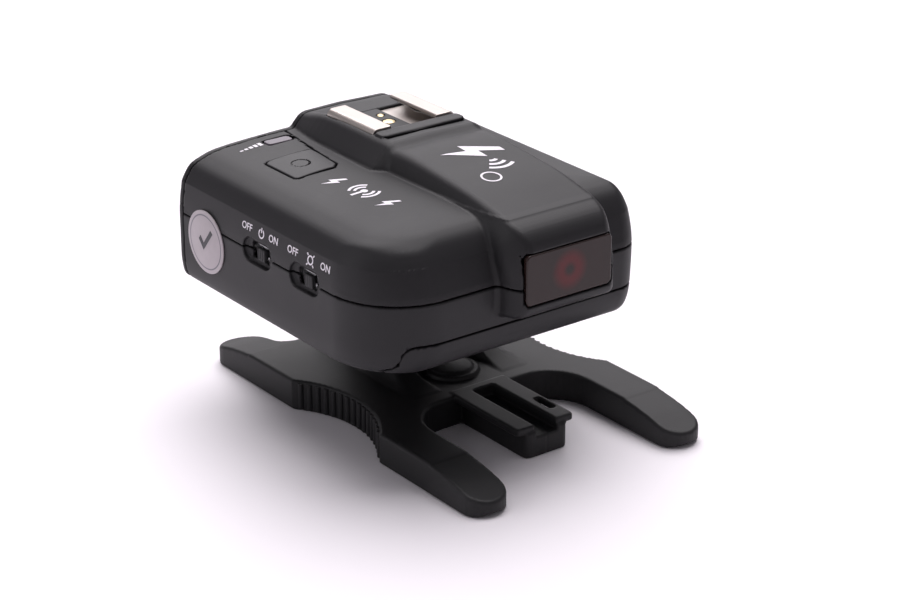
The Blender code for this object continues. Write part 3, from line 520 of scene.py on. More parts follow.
def switchScoops(x, y, z):
    cut = 1e3
    for centre in switches["centres"]:
        half, slotHalf = switches["half"], switches["slotHalf"]
        scoop = round2(y, z, (centre - half, centre + half), switches["z"], 2.9)
        curveIn = 0.9 + 0.35 * np.clip(1 - ((y - centre) / 6.0) ** 2, 0, 1)
        scoop = meet(scoop, x - (case["left"] + curveIn), 0.4)
        slot = round2(y, z, (centre - slotHalf, centre + slotHalf), switches["slotZ"], 0.3)
        slot = np.maximum(slot, x - switches["slotEnd"])
        cut = np.minimum(cut, np.minimum(scoop, slot))
    return cut


testKey = {"outline": ((-34.2, 26.6), (-33.9, 27.4), (-33.0, 27.9), (-20.5, 27.9),
                       (-21.8, 16.0), (-23.4, 14.4), (-33.4, 14.4), (-34.2, 15.2)),
           "gap": 0.3, "crown": 61.45, "stem": (-27.9, 21.15), "ring": (-28.2, 21.4)}
keyPoints = np.array(testKey["outline"])
topCuts = {"lens": ((-27.1, -19.5), (36.6, 40.2)), "floor": 50.0,
           "shoe": ((-12.3, 12.3), (14.3, 34.1), (60.0, 80.0)),
           "mouth": ((-11.0, 11.0), (32.6, 50.0), (65.1, 80.0)),
           "groove": ((-18.3, 43.2), (-20.2, 28.2)), "grooveHalf": 0.2, "grooveFloor": 60.55}


def topHoles(x, y, z):
    below = topCuts["floor"] - z
    key = np.maximum(outlineDistance(keyPoints, x, y) - testKey["gap"], below)
    lens = np.maximum(round2(x, y, *topCuts["lens"], 0.4), below)
    shoe = block(x, y, z, *topCuts["shoe"], 0.1, 0.3)
    mouth = block(x, y, z, *topCuts["mouth"], 0.2, 0.2)
    return np.minimum(np.minimum(key, lens), np.minimum(shoe, mouth))


def topGroove(x, y, z):
    (ax, ay), (bx, by) = topCuts["groove"]
    t = np.clip(((x - ax) * (bx - ax) + (y - ay) * (by - ay))
                / ((bx - ax) ** 2 + (by - ay) ** 2), 0, 1)
    away = np.hypot(x - ax - t * (bx - ax), y - ay - t * (by - ay))
    return np.maximum(away - topCuts["grooveHalf"], topCuts["grooveFloor"] - z)


def topCover(x, y, z):
    body = carve(outerCase(x, y, z), hollow(x, y, z))
    body = meet(body, case["seam"] + case["gap"] - z, 0.22)
    body = carve(body, frontOpenings(x, y, z), 0.25)
    body = carve(body, switchScoops(x, y, z), 0.2)
    body = carve(body, topGroove(x, y, z), 0.1)
    return carve(body, topHoles(x, y, z), 0.18)


door = {"x": -37.0, "top": 36.8, "bend": 2.9, "strip": -30.5, "floor": -5.5, "right": 20.0}


def doorRegion(x, y, z, grow):
    bend, mid = door["bend"], door["top"] - door["bend"]
    # the seam's height runs down an S towards the corner
    along = door["x"] - x
    upper = mid + np.sqrt(np.clip(bend ** 2 - np.clip(along, 0, bend) ** 2, 0, None))
    reach = np.clip(2 * bend - along, 0, bend)
    lower = mid - np.sqrt(np.clip(bend ** 2 - reach ** 2, 0, None))
    height = np.where(along < bend, upper, lower)
    rise = np.where(along < bend, np.clip(along, 0, bend), reach) / bend
    lean = np.sqrt(np.clip(1 - rise ** 2, 0.02, 1))
    front = np.maximum((z - height) * lean, door["x"] - 2 * bend - x)
    front = np.maximum(front, y - door["strip"])
    floor = np.maximum(np.maximum(door["x"] - x, x - door["right"]),
                       np.maximum(y - door["floor"], z - 33.0))
    return np.minimum(front, floor) - grow


underside = {"screws": ((-41.0, 36.5), (18.5, 36.5), (-42.0, 0.0), (19.5, 0.0)),
             "head": 2.3, "shank": 1.4, "boss": 3.1, "bossZ": (31.0, 43.0),
             "footScrews": ((-10.0, 15.0), (10.0, 31.0)), "footHole": 1.5,
             "usb": ((9.0, 19.4), (38.2, 42.6)), "jack": (30.5, 40.4), "jackRadius": 3.1,
             "sideWall": 22.0}


def bottomHoles(x, y, z):
    u, cut = underside, 1e3
    for sx, sy in u["screws"]:
        away = np.hypot(x - sx, y - sy)
        cut = np.minimum(cut, np.maximum(away - u["head"], z - 32.6))
        cut = np.minimum(cut, np.maximum(away - u["shank"], z - 50.0))
    for sx, sy in u["footScrews"]:
        cut = np.minimum(cut, np.maximum(np.hypot(x - sx, y - sy) - u["footHole"], z - 34.0))
    usb = np.maximum(round2(y, z, *u["usb"], 1.2), u["sideWall"] - x)
    jackY, jackZ = u["jack"]
    jack = np.maximum(np.hypot(y - jackY, z - jackZ) - u["jackRadius"], u["sideWall"] - x)
    return np.minimum(cut, np.minimum(usb, jack))


def bottomCover(x, y, z):
    body = carve(outerCase(x, y, z), hollow(x, y, z))
    for sx, sy in underside["screws"]:
        boss = np.hypot(x - sx, y - sy) - underside["boss"]
        body = np.minimum(body, np.maximum(boss, between(z, *underside["bossZ"])))
    body = meet(body, z - case["seam"] + case["gap"], 0.22)
    body = carve(body, frontOpenings(x, y, z), 0.25)
    body = carve(body, switchScoops(x, y, z), 0.2)
    body = carve(body, doorRegion(x, y, z, 0.0), 0.18)
    return carve(body, bottomHoles(x, y, z), 0.15)


def doorBody(x, y, z):
    body = carve(outerCase(x, y, z), hollow(x, y, z))
    body = meet(body, doorRegion(x, y, z, -0.3), 0.18)
    for k in range(6):       # finger ridges on the strip
        ridge = np.hypot(y + 37.75, x + 9.0 - k * 2.2) - 0.55
        body = np.minimum(body, np.maximum(ridge, between(z, 31.2, 31.6)))
    return body


fine = 0.5
top = solid("caseTop", topCover, (-49, -45.6, 46.3), (29, 43.6, 68.3), fine, shell)
rideFor(top, "trigger", "top_cover")
bottom = solid("caseBottom", bottomCover, (-49, -45.6, 29.2), (29, 43.6, 46.8), fine, shell)
rideFor(bottom, "trigger", "bottom_cover")
hatch = solid("batteryHatch", doorBody, (-43.6, -38.8, 29.2), (28.6, -4.6, 37.4), fine, shell)
rideFor(hatch, "battery_door", "battery_door")
print("case made")


stand = {
    "half": 34.4, "tip": 55.2, "leg": 11.2, "notchHalf": 18.2, "notchDeep": 6.4,
    "bayCentre": (12.6, 24.3), "bayRadii": (10.6, 11.5), "rearBay": 38.8, "rearRadius": 4.6,
    "slope": ((0.0, 7.8), (34.0, 7.75), (38.0, 7.45), (42.0, 6.95), (46.0, 6.3), (49.0, 5.6),
              (52.0, 4.8), (55.4, 4.0)), "edge": 0.75, "core": 4.0,
    "railX": (9.6, 13.2), "railY": (8.0, 38.4), "lipX": (6.6, 13.2), "lipZ": (10.25, 12.25),
    "slotX": (-3.2, 3.2), "slotY": (-45.0, -12.6), "eyeX": (5.4, 7.4), "eyeY": (-31.9, -24.9),
}


def bend(centre, radii, start, end, count):
    turns = np.radians(np.linspace(start, end, count + 1))
    return np.stack([centre[0] + radii[0] * np.cos(turns), centre[1] + radii[1] * np.sin(turns)], 1)


def standOutline():
    s = stand
    radius = (s["notchHalf"] ** 2 + s["notchDeep"] ** 2) / (2 * s["notchDeep"])
    middle = (s["half"] - s["notchDeep"] + radius, 0.0)
    spread = math.degrees(math.asin(s["notchHalf"] / radius))
    tip = s["leg"] / 2
    leg = np.vstack([bend(middle, (radius, radius), 180, 180 + spread, 8),
                     bend((s["half"] - tip, -(s["tip"] - tip)), (tip, tip), 0, -180, 16)])
    frontBay = bend((s["bayCentre"][0], -s["bayCentre"][1]), s["bayRadii"], 0, 90, 12)
    r = s["rearRadius"]
    rearBay = bend((s["half"] - s["leg"] - r, -(s["rearBay"] + r)), (r, r), 0, 90, 8)
    halves = []
    for bay, turn in ((frontBay, 1), (rearBay, -1)):
        quarter = np.vstack([leg, bay])
        half = np.vstack([quarter, (quarter * (-1, 1))[::-1]]) * turn
        halves.append(half[:-1])
    return np.vstack(halves)


standEdge = standOutline()
standTop = curve(stand["slope"], 6)


def standBody(x, y, z):
    s = stand
    plan = outlineDistance(standEdge, x, y)
    ay = np.abs(y)
    height = np.interp(ay, standTop[:, 0], standTop[:, 1])
    fall = np.interp(ay, standTop[:, 0], np.gradient(standTop[:, 1], standTop[:, 0]))
    lift = np.clip(ay - 51.0, 0, None) ** 2 * 0.07
    body = meet(plan, (z - height) / np.hypot(1, fall), s["edge"])
    body = meet(body, lift - z, 0.35)
    # shoulders beside the female shoe, sloping out and to the front
    ax = np.abs(x)
    ramp = 7.3 + np.clip((y + 8.0) / 16.0, 0, 1) ** 1.2 * 5.0
    side = 12.25 - np.clip(ax - 12.2, 0, None) * 0.95
    wing = np.maximum(between(ax, 9.6, 18.4), between(y, -8.0, 13.5))
    wing = meet(meet(wing, (z - ramp) / 1.05, 0.5), (z - side) / 1.38, 0.9)
    wing = np.maximum(wing, s["core"] - z)
    body = fuse(body, wing, 1.3)
    length, lipTop = between(y, *s["railY"]), s["lipZ"][1]
    rail = np.maximum(between(ax, *s["railX"]), length)
    lips = np.maximum(between(ax, *s["lipX"]), np.maximum(between(z, *s["lipZ"]), length))
    rail = np.minimum(np.maximum(rail, between(z, s["core"], lipTop)), lips)
    rail = meet(rail, z - lipTop, 0.5)
    body = fuse(body, rail, 0.4)
    stop = block(ax, y, z, (-1.0, 10.1), (10.2, 13.7), (5.0, 10.75), 0.3, 0.3)
    body = fuse(body, stop, 0.3)
    # domed disc with its stepped shoulder
    away = np.hypot(x, y)
    disc = meet(away - 6.9, z - 8.75, 0.45)
    dome = meet(away - 5.6, (z - 9.9 + away ** 2 * 0.022), 0.7)
    body = fuse(body, np.maximum(disc, s["core"] - z), 0.35)
    body = fuse(body, np.maximum(dome, s["core"] - z), 0.25)
    # slotted tongue
    plates = block(ax, y, z, (-1.0, 8.4), (-36.8, -10.0), (6.1, 8.0), 0.45, 0.9)
    foot = block(ax, y, z, (-1.0, 6.3), (-37.4, -10.0), (0.0, 6.6), 0.5, 1.6)
    body = fuse(fuse(body, plates, 0.3), foot, 0.35)
    slot = block(x, y, z, s["slotX"], s["slotY"], (5.1, 9.5), 0.5, 0.9)
    body = carve(body, slot, 0.35)
    eye = np.maximum(round2(x, y, s["eyeX"], s["eyeY"], 0.98), 5.4 - z)
    body = carve(body, eye, 0.25)
    # the channel and track that the foot slides in, and the pocket below
    channel = block(x, y, z, (-9.6, 9.6), (13.7, 42.0), (7.6, 8.3), 0.1, 0.2)
    track = block(x, y, z, (-6.2, 6.2), (13.7, 42.0), (6.3, 8.3), 0.2, 0.4)
    body = carve(carve(body, channel, 0.15), track, 0.2)
    pocket = block(x, y, z, (-19.0, 19.0), (-9.4, 9.4), (-2.0, 3.4), 0.5, 2.0)
    pocket = carve(pocket, away - 8.2, 0.3)
    body = carve(body, pocket, 0.3)
    return carve(body, np.maximum(away - 5.3, z - 6.8), 0.2)


base = solid("standBody", standBody, (-35.4, -56.2, -0.6), (35.4, 56.2, 12.9),
             0.6, standSkin)
rideFor(base, "stand", "stand_base")
print("stand made")


def faceOut(piece, weld=0.0):      # merges doubles, then turns the faces outwards
    bm = bmesh.new()
    bm.from_mesh(piece.data)
    if weld:
        bmesh.ops.remove_doubles(bm, verts=bm.verts, dist=weld)
    bmesh.ops.recalc_face_normals(bm, faces=bm.faces)
    bm.to_mesh(piece.data)
    bm.free()
    return piece


def finished(piece):               # the mesh that a piece's modifiers make
    graph = bpy.context.evaluated_depsgraph_get()
    return bpy.data.meshes.new_from_object(piece.evaluated_get(graph))


def lathe(name, profile, centre, axis, look, steps=48):
    rings, faces = [], []
    for along, radius in profile:
        for k in range(steps):
            t = 2 * math.pi * k / steps
            u, v = radius * math.cos(t), radius * math.sin(t)
            spot = {"z": (centre[0] + u, centre[1] + v, along),
                    "y": (centre[0] + u, along, centre[1] + v),
                    "x": (along, centre[0] + u, centre[1] + v)}[axis]
            rings.append(spot)
    n = len(profile)
    closed = profile[0] == profile[-1]
    for i in range(n - 1):
        for k in range(steps):
            j = (k + 1) % steps
            faces.append((i * steps + k, i * steps + j, (i + 1) * steps + j, (i + 1) * steps + k))
    if not closed:
        faces += [tuple(range(steps))[::-1], tuple(range((n - 1) * steps, n * steps))]
    return faceOut(addMesh(name, rings, faces, look), 1e-7)


def soften(piece, width=0.2, segments=3, angle=30):
    modifier = piece.modifiers.new("edges", "BEVEL")
    modifier.width, modifier.segments = width * mm, segments
    modifier.limit_method, modifier.angle_limit = "ANGLE", math.radians(angle)
    modifier.harden_normals = False
    piece.data.set_sharp_from_angle(angle=math.radians(40))
    piece.data = finished(piece)
    piece.modifiers.clear()
    return piece


def slabPiece(name, outline, low, high, axis, look, edge=0.2):
    order = {"z": lambda u, v, w: (u, v, w), "y": lambda u, v, w: (u, w, v),
             "x": lambda u, v, w: (w, u, v)}[axis]
    n = len(outline)
    points = [order(u, v, w) for w in (low, high) for u, v in outline]
    faces = [tuple(range(n))[::-1], tuple(range(n, 2 * n))]
    faces += [(k, (k + 1) % n, n + (k + 1) % n, n + k) for k in range(n)]
    return soften(faceOut(addMesh(name, points, faces, look)), edge)


def roundedOutline(us, vs, r, steps=6):
    corners = ((us[1] - r, vs[1] - r, 0), (us[0] + r, vs[1] - r, 90),
               (us[0] + r, vs[0] + r, 180), (us[1] - r, vs[0] + r, 270))
    return [tuple(p) for cu, cv, a in corners for p in bend((cu, cv), (r, r), a, a + 90, steps)]


def mergePieces(name, pieces):
    bm = bmesh.new()
    for piece in pieces:
        bm.from_mesh(piece.data)
    mesh = pieces[0].data.copy()
    bm.to_mesh(mesh)
    bm.free()
    merged = bpy.data.objects.new(name, mesh)
    bpy.context.scene.collection.objects.link(merged)
    for piece in pieces:
        bpy.data.objects.remove(piece)
    return merged


panel = {"y": (43.15, 45.0), "edge": 0.9, "displayX": (-14.0, 20.0), "displayZ": (41.0, 57.0),
         "dial": (-31.5, 46.0), "keys": (-9.5, 3.0, 15.5), "keyZ": 36.2, "keyTall": (34.4, 38.0)}


def panelBody(x, y, z):
    plan = fuse(caseBody(x, 0.0 * y + 20.0, z, 60.0), humpBody(x, 0.0 * y + 43.5, z), 1.2)
    body = meet(plan, y - panel["y"][1], panel["edge"])
    body = np.maximum(body, panel["y"][0] - y)
    (x0, x1), (z0, z1) = panel["displayX"], panel["displayZ"]
    hole = round2(x, z, (x0 - 0.3, x1 + 0.3), (z0 - 0.3, z1 + 0.3), 1.5)
    cx, cz = panel["dial"]
    away = np.hypot(x - cx, z - cz)
    hole = np.minimum(hole, np.maximum(away - 11.0, 44.4 - y))
    hole = np.minimum(hole, away - 6.2)
    for keyX in panel["keys"]:
        hole = np.minimum(hole, round2(x, z, (keyX - 4.3, keyX + 4.3),
                                       (panel["keyZ"] - 2.1, panel["keyZ"] + 2.1), 2.0))
    return carve(body, hole, 0.2)


rear = solid("rearPlate", panelBody, (-49, 42.6, 29.2), (29, 45.6, 68), fine, shell)
rideFor(rear, "trigger", "rear_panel")

glass = slabPiece("displayPane", roundedOutline(panel["displayX"], panel["displayZ"], 1.2),
                  44.0, 45.0, "y", blackGlass, 0.25)
rideFor(glass, "trigger", "display_window")
for i, keyX in enumerate(panel["keys"]):
    key = solid("menuKey%d" % (i + 1),
                lambda x, y, z, c=keyX: np.maximum(
                    meet(round2(x, z, (c - 4, c + 4), panel["keyTall"], 1.75),
                         y - 45.7 + (((x - c) / 9) ** 2), 0.55), 42.4 - y),
                (keyX - 4.6, 42.0, 33.8), (keyX + 4.6, 46.2, 38.6), 0.3, rubber)
    rideFor(key, "menu_button_%d" % (i + 1), "menu_button_%d" % (i + 1))


def geometryTree(name, numbers):
    tree = bpy.data.node_groups.new(name, "GeometryNodeTree")
    tree.interface.new_socket("Geometry", in_out="INPUT", socket_type="NodeSocketGeometry")
    sockets = {}
    for key, value in numbers.items():
        kind = "NodeSocketInt" if isinstance(value, int) else "NodeSocketFloat"
        socket = tree.interface.new_socket(key, in_out="INPUT", socket_type=kind)
        socket.default_value = value
        sockets[key] = socket.identifier
    tree.interface.new_socket("Geometry", in_out="OUTPUT", socket_type="NodeSocketGeometry")
    return Graph(tree), tree.nodes.new("NodeGroupInput"), tree.nodes.new("NodeGroupOutput"), sockets


def growPiece(name, build, numbers, look):
    graph, given, result, sockets = geometryTree(name + "Tree", numbers)
    tree = graph.tree
    inputs = {key: Sock(graph, given.outputs[key]) for key in numbers}
    inputs["Geometry"] = Sock(graph, given.outputs["Geometry"])
    made = build(graph, inputs)
    made = graph.make("GeometryNodeRealizeInstances", {}, {"Geometry": made})
    painted = graph.make("GeometryNodeSetMaterial", {}, {"Geometry": made, "Material": look})
    tree.links.new(painted.link, result.inputs[0])
    piece = bpy.data.objects.new(name, bpy.data.meshes.new(name + "Seed"))
    bpy.context.scene.collection.objects.link(piece)
    modifier = piece.modifiers.new("grow", "NODES")
    modifier.node_group = tree
    for key, value in numbers.items():
        modifier[sockets[key]] = value
    bpy.context.view_layer.update()
    grown = finished(piece)
    piece.modifiers.clear()
    piece.data = grown
    grown.transform(Matrix.Translation((axisX * mm, 0, 0)))
    if not grown.materials:
        grown.materials.append(look)
    return piece


def ringOfRidges(g, n):
    circle = g.make("GeometryNodeCurvePrimitiveCircle", {"mode": "RADIUS"},
                    {"Resolution": n["count"], "Radius": n["radius"]})
    bar = g.make("GeometryNodeMeshCylinder", {}, {"Vertices": 10, "Side Segments": 1,
                                                  "Radius": n["ridge"], "Depth": n["tall"]})
    points = g.make("GeometryNodeCurveToPoints", {"mode": "EVALUATED"}, {"Curve": circle})
    return g.make("GeometryNodeInstanceOnPoints", {}, {"Points": points, "Instance": bar})


def placed(piece, matrix, shift):
    move = Matrix.Translation(Vector((shift[0], shift[1], shift[2])) * mm)
    back = Matrix.Translation((-axisX * mm, 0, 0))
    piece.data.transform(Matrix.Translation((axisX * mm, 0, 0)) @ move @ matrix @ back)
    return piece


dialProfile = [(41.0, 5.3), (41.0, 5.9), (44.9, 5.9), (45.0, 9.6), (45.5, 10.05), (46.7, 10.05),
               (47.2, 9.6), (47.4, 8.9), (47.1, 7.4), (47.2, 6.2), (47.35, 5.7), (47.1, 5.3),
               (41.0, 5.3)]      # place along y, radius
dialBody = lathe("dialDisc", dialProfile, panel["dial"], "y", keySkin, 64)
ridges = {"count": 40, "radius": 10.05 * mm, "ridge": 0.42 * mm, "tall": 1.3 * mm}
dialRidges = growPiece("dialRidges", ringOfRidges, ridges, keySkin)
placed(dialRidges, Matrix.Rotation(math.radians(90), 4, "X"),
       (panel["dial"][0], 46.05, panel["dial"][1]))
rideFor(dialBody, "select_dial", "select_dial")
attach(dialRidges, "select_dial")
setKey = lathe("setKey", [(39.9, 0.01), (39.9, 2.2), (43.4, 2.2), (43.4, 4.9), (46.6, 4.9),
                          (47.2, 4.6), (47.5, 4.0), (47.35, 2.5), (47.3, 0.01)],
               panel["dial"], "y", keySkin, 40)
rideFor(setKey, "set_button", "set_button")
print("rear controls made")


def keyTop(x, y, z):
    plan = outlineDistance(keyPoints, x, y)
    crown = testKey["crown"] - ((x + 24.0) / 60.0) ** 2 * 20.0 - np.clip(-24 - x, 0, None) * 0.012
    body = meet(meet(plan, z - crown, 0.35), 58.0 - z, 0.1)
    ringX, ringY = testKey["ring"]
    ring = np.abs(np.hypot(x - ringX, y - ringY) - 2.2) - 0.16
    body = carve(body, np.maximum(ring, 61.05 - z), 0.05)
    stemX, stemY = testKey["stem"]
    stem = np.maximum(np.hypot(x - stemX, y - stemY) - 2.0, between(z, 56.2, 58.5))
    return np.minimum(body, stem)


key = solid("testKey", keyTop, (-34.8, 13.8, 55.8), (-21.0, 28.5, 62.0), 0.3, keySkin)
rideFor(key, "test_button", "test_button")
lens = solid("statusPane", lambda x, y, z: block(x, y, z, (-26.8, -19.8), (36.9, 39.9),
             (57.0, 61.2), 0.2, 0.9), (-27.4, 36.3, 56.6), (-19.2, 40.5, 61.7), 0.25, paleLens)
rideFor(lens, "trigger", "status_lens")

sliders = (("powerSlider", "power_switch"), ("lampSlider", "lamp_switch"))
for (name, node), centre in zip(sliders, switches["centres"]):
    y, half = centre + switches["knob"], switches["knobHalf"]

    def knob(a, b, c, y=y):
        body = block(a, b, c, switches["knobX"], (y - half, y + half), switches["knobZ"],
                     0.3, 0.35)
        for k in (-0.9, 0.0, 0.9):
            body = carve(body, np.hypot(a + 48.05, b - y - k) - 0.28, 0.05)
        lever = block(a, b, c, (-47.1, -44.7), (y - 0.7, y + 0.7), (45.9, 47.3), 0.1, 0.1)
        return np.minimum(body, lever)

    slider = solid(name, knob, (-48.4, y - 2, 44.7), (-44.3, y + 2, 48.5), 0.2, rubber)
    rideFor(slider, node, node)

paneHalf = lampShape["half"]
lamp = slabPiece("lampWindow", roundedOutline((-paneHalf, paneHalf), lampShape["z"], 1.3),
                 *lampShape["y"], "y", pane, 0.3)
rideFor(lamp, "trigger", "af_window")
sealR = sealShape["radius"]
sealDisc = lathe("sealDisc", [(-48.15, 0.01), (-48.15, sealR), (-48.42, sealR), (-48.5, 7.6),
                              (-48.5, 0.01)], sealShape["at"], "x", seal, 72)
rideFor(sealDisc, "trigger", "seal_sticker")
print("controls made")


# half width, top and underside of the folded sheet, outside and inside
shoeSheet = {"outside": (12.1, 68.0, 63.4), "inside": (11.1, 67.0, 64.4),
             "mouth": (6.6, 65.6), "y": (14.6, 33.8)}


def shoeBody(x, y, z):
    ax = np.abs(x)
    (wide, high, low), (room, roof, floor) = shoeSheet["outside"], shoeSheet["inside"]
    body = carve(meet(meet(ax - wide, z - high, 1.6), low - z, 0.9),
                 meet(meet(ax - room, z - roof, 0.7), floor - z, 0.4), 0.2)
    body = carve(body, np.maximum(ax - shoeSheet["mouth"][0], shoeSheet["mouth"][1] - z), 0.3)
    return meet(body, between(y, *shoeSheet["y"]), 0.15)


shoe = solid("shoeSheet", shoeBody, (-12.7, 14.0, 62.9), (12.7, 34.4, 68.6), 0.3, nickel)
rideFor(shoe, "trigger", "hot_shoe_frame")


def flatMark(name, outlines, toPlace, look=ink, thick=0.04):   # ink laid on a curved surface
    bm = bmesh.new()
    for outline in outlines:
        low = [bm.verts.new((u, v, 0.0)) for u, v in outline]
        high = [bm.verts.new((u, v, thick)) for u, v in outline]
        bm.faces.new(low[::-1])
        bm.faces.new(high)
        for k in range(len(low)):
            j = (k + 1) % len(low)
            bm.faces.new((low[k], low[j], high[j], high[k]))
    bm.normal_update()
    bmesh.ops.triangulate(bm, faces=bm.faces[:])
    for k in range(-5, 6):       # cut small, so that it follows a curved surface
        for plane in ((1, 0, 0), (0, 1, 0)):
            bmesh.ops.bisect_plane(bm, geom=bm.verts[:] + bm.edges[:] + bm.faces[:], dist=1e-5,
                                   plane_co=Vector(plane) * (k * 1.5 + 0.1), plane_no=plane)
    bmesh.ops.triangulate(bm, faces=bm.faces[:])
    bmesh.ops.recalc_face_normals(bm, faces=bm.faces[:])
    bm.verts.index_update()
    points = [toPlace(*v.co) for v in bm.verts]
    faces = [[v.index for v in f.verts] for f in bm.faces]
    bm.free()
    return faceOut(addMesh(name, points, faces, look, smooth=False))


def letters(text, size):
    data = bpy.data.curves.new(text, "FONT")
    data.body, data.size, data.resolution_u = text, size, 3
    data.align_x, data.align_y = "CENTER", "CENTER"
    data.offset = size * 0.012
    probe = bpy.data.objects.new(text, data)
    bpy.context.scene.collection.objects.link(probe)
    mesh = finished(probe)
    bpy.data.objects.remove(probe)
    return mesh


def arcBand(cu, cv, radius, width, start, end, count=20):
    outer = bend((cu, cv), (radius + width / 2,) * 2, start, end, count)
    inner = bend((cu, cv), (radius - width / 2,) * 2, end, start, count)
    return [tuple(p) for p in np.vstack([outer, inner])]


def onTop(x, y, thick):      # height of the outside under a point, found by halving
    low, high = 58.0, 68.5
    for turn in range(18):
        mid = (low + high) / 2
        value = outerCase(np.array([float(x)]), np.array([float(y)]), np.array([mid]))[0]
        low, high = (mid, high) if value < 0 else (low, mid)
    return (x, y, low + thick + 0.015)


def onSide(y, z, thick):
    left = float(caseSide(np.array([z]), 1)[0][0])
    return (case["left"] + left - thick - 0.015, y, z)


marks = {"labelZ": 51.9, "labelSize": 2.4375, "offOn": ((14.9, 8.9, 3.9), (-4.0, -11.1, -17.0))}
sideFlats = []
for row in marks["offOn"]:
    for text, y in (("OFF", row[0]), ("ON", row[2])):
        mesh = letters(text, marks["labelSize"])
        spots = [onSide(y - v.co.x, marks["labelZ"] + v.co.y, 0.03) for v in mesh.vertices]
        sideFlats.append(addMesh("flat" + text, spots, [list(p.vertices) for p in mesh.polygons],
                                 ink, smooth=False))


def thicken(piece, thick):
    modifier = piece.modifiers.new("depth", "SOLIDIFY")
    modifier.thickness, modifier.offset = thick * mm, 0.0
    piece.data = finished(piece)
    piece.modifiers.clear()
    return piece


def sidePlace(y, z):
    return lambda u, v, w: onSide(y - u, z + v, w)


powerY, lampY = marks["offOn"][0][1], marks["offOn"][1][1]
power = [arcBand(0, 0, 1.0, 0.3, 120, 420), [(-0.15, 0.2), (0.15, 0.2), (0.15, 1.4), (-0.15, 1.4)]]
sideFlats.append(flatMark("powerMark", power, sidePlace(powerY, marks["labelZ"])))
sun = [arcBand(0, 0, 0.95, 0.32, 0, 180), arcBand(0, 0, 0.95, 0.32, 180, 360)]
for k in range(4):
    t = math.radians(45 + 90 * k)
    c, s = math.cos(t), math.sin(t)
    sun.append([(c * a - s * b, s * a + c * b) for a, b in ((1.35, -0.16), (1.95, -0.16),
                                                            (1.95, 0.16), (1.35, 0.16))])
sideFlats.append(flatMark("sunMark", sun, sidePlace(lampY, marks["labelZ"])))
sideMarks = thicken(mergePieces("sideLabels", sideFlats), 0.03)
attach(sideMarks, "trigger")


def radioMark(scale):        # a mast with two pairs of waves
    shapes = [[(-0.35, -2.4), (0.35, -2.4), (0.35, 0.6), (-0.35, 0.6)]]
    shapes.append([tuple(p) for p in bend((0, 1.0), (0.8, 0.8), 0, 345, 20)])
    for radius in (2.0, 3.2):
        shapes += [arcBand(0, 1.0, radius, 0.62, -48, 48), arcBand(0, 1.0, radius, 0.62, 132, 228)]
    return [[(u * scale, v * scale) for u, v in shape] for shape in shapes]


def boltMark(scale):
    bolt = ((0.5, 3.6), (-1.9, -0.5), (-0.3, -0.5), (-0.9, -3.6), (1.9, 0.8), (0.2, 0.8), (1.5, 3.6))
    return [[(u * scale, v * scale) for u, v in bolt]]


topMarks = [
    flatMark("boltSmall", boltMark(0.85), lambda u, v, w: onTop(-28.6 + v, 7.0 - u, w)),
    flatMark("radioFlat", radioMark(1.15), lambda u, v, w: onTop(-27.8 + v * 0.95, -2.5 - u, w)),
    flatMark("boltOther", boltMark(0.85), lambda u, v, w: onTop(-27.0 + v, -12.0 - u, w)),
    flatMark("boltFlat", boltMark(2.1), lambda u, v, w: onTop(1.0 + v, -6.5 - u, w)),
    flatMark("ringFlat", [arcBand(0, 0, 2.3, 0.5, 0, 180), arcBand(0, 0, 2.3, 0.5, 180, 360)],
             lambda u, v, w: onTop(-3.5 + u, -20.0 + v, w)),
    flatMark("waveFlat", [arcBand(0, 0, r, 0.9, -38, 38) for r in (1.6, 3.6, 5.6)],
             lambda u, v, w: onTop(2.5 + v, -11.5 - u, w)),
    flatMark("barsFlat", [[(a, -0.8), (a + 0.9, -0.8), (a + 0.9, -0.8 + h), (a, -0.8 + h)]
                          for a, h in ((-4.0, 0.7), (-2.6, 1.1), (-1.2, 1.5), (0.2, 1.9), (1.6, 2.3))],
             lambda u, v, w: onTop(-30.4 + u, 38.4 + v * 0.8, w))]
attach(mergePieces("topMarks", topMarks), "trigger")
tick = [[(-2.9, 0.2), (-0.9, -2.2), (3.3, 2.9), (2.4, 3.6), (-0.8, -0.4), (-2.1, 1.2)]]
sealY, sealZ = sealShape["at"]
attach(flatMark("sealTick", tick, lambda u, v, w: (-48.52 - w, sealY - u, sealZ + v), darkMetal),
        "trigger")
print("marks made")


foot = {"y": 23.0, "halfX": 11.0, "halfY": 11.6, "z": (19.2, 20.4, 26.5, 29.5),
        "grow": (0.0, 1.1, 2.5, 3.4), "ring": 15.9}


def pedestalBody(x, y, z):
    hx, hy = foot["halfX"], foot["halfY"]
    plan = round2(x, y - foot["y"], (-hx, hx), (-hy, hy), 3.0) - np.interp(z, foot["z"], foot["grow"])
    return meet(plan, between(z, foot["z"][0], foot["z"][-1]), 0.4)


pedestal = solid("footPedestal", pedestalBody, (-15.2, 7, 18.6), (15.2, 39, 30.1), 0.6, shell)
rideFor(pedestal, "trigger", "foot_pedestal")
ringBody = lathe("ringBody", [(12.9, 6.05), (12.9, 11.2), (13.4, 11.9), (18.4, 11.9), (18.9, 11.2),
                              (18.9, 6.05), (12.9, 6.05)], (0.0, foot["y"]), "z", keySkin, 72)
knurls = {"count": 36, "radius": 11.85 * mm, "ridge": 0.62 * mm, "tall": 4.6 * mm}
ringKnurls = growPiece("ringKnurls", ringOfRidges, knurls, keySkin)
placed(ringKnurls, Matrix.Identity(4), (0.0, foot["y"], foot["ring"]))
rideFor(ringBody, "lock_ring", "lock_ring")
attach(ringKnurls, "lock_ring")


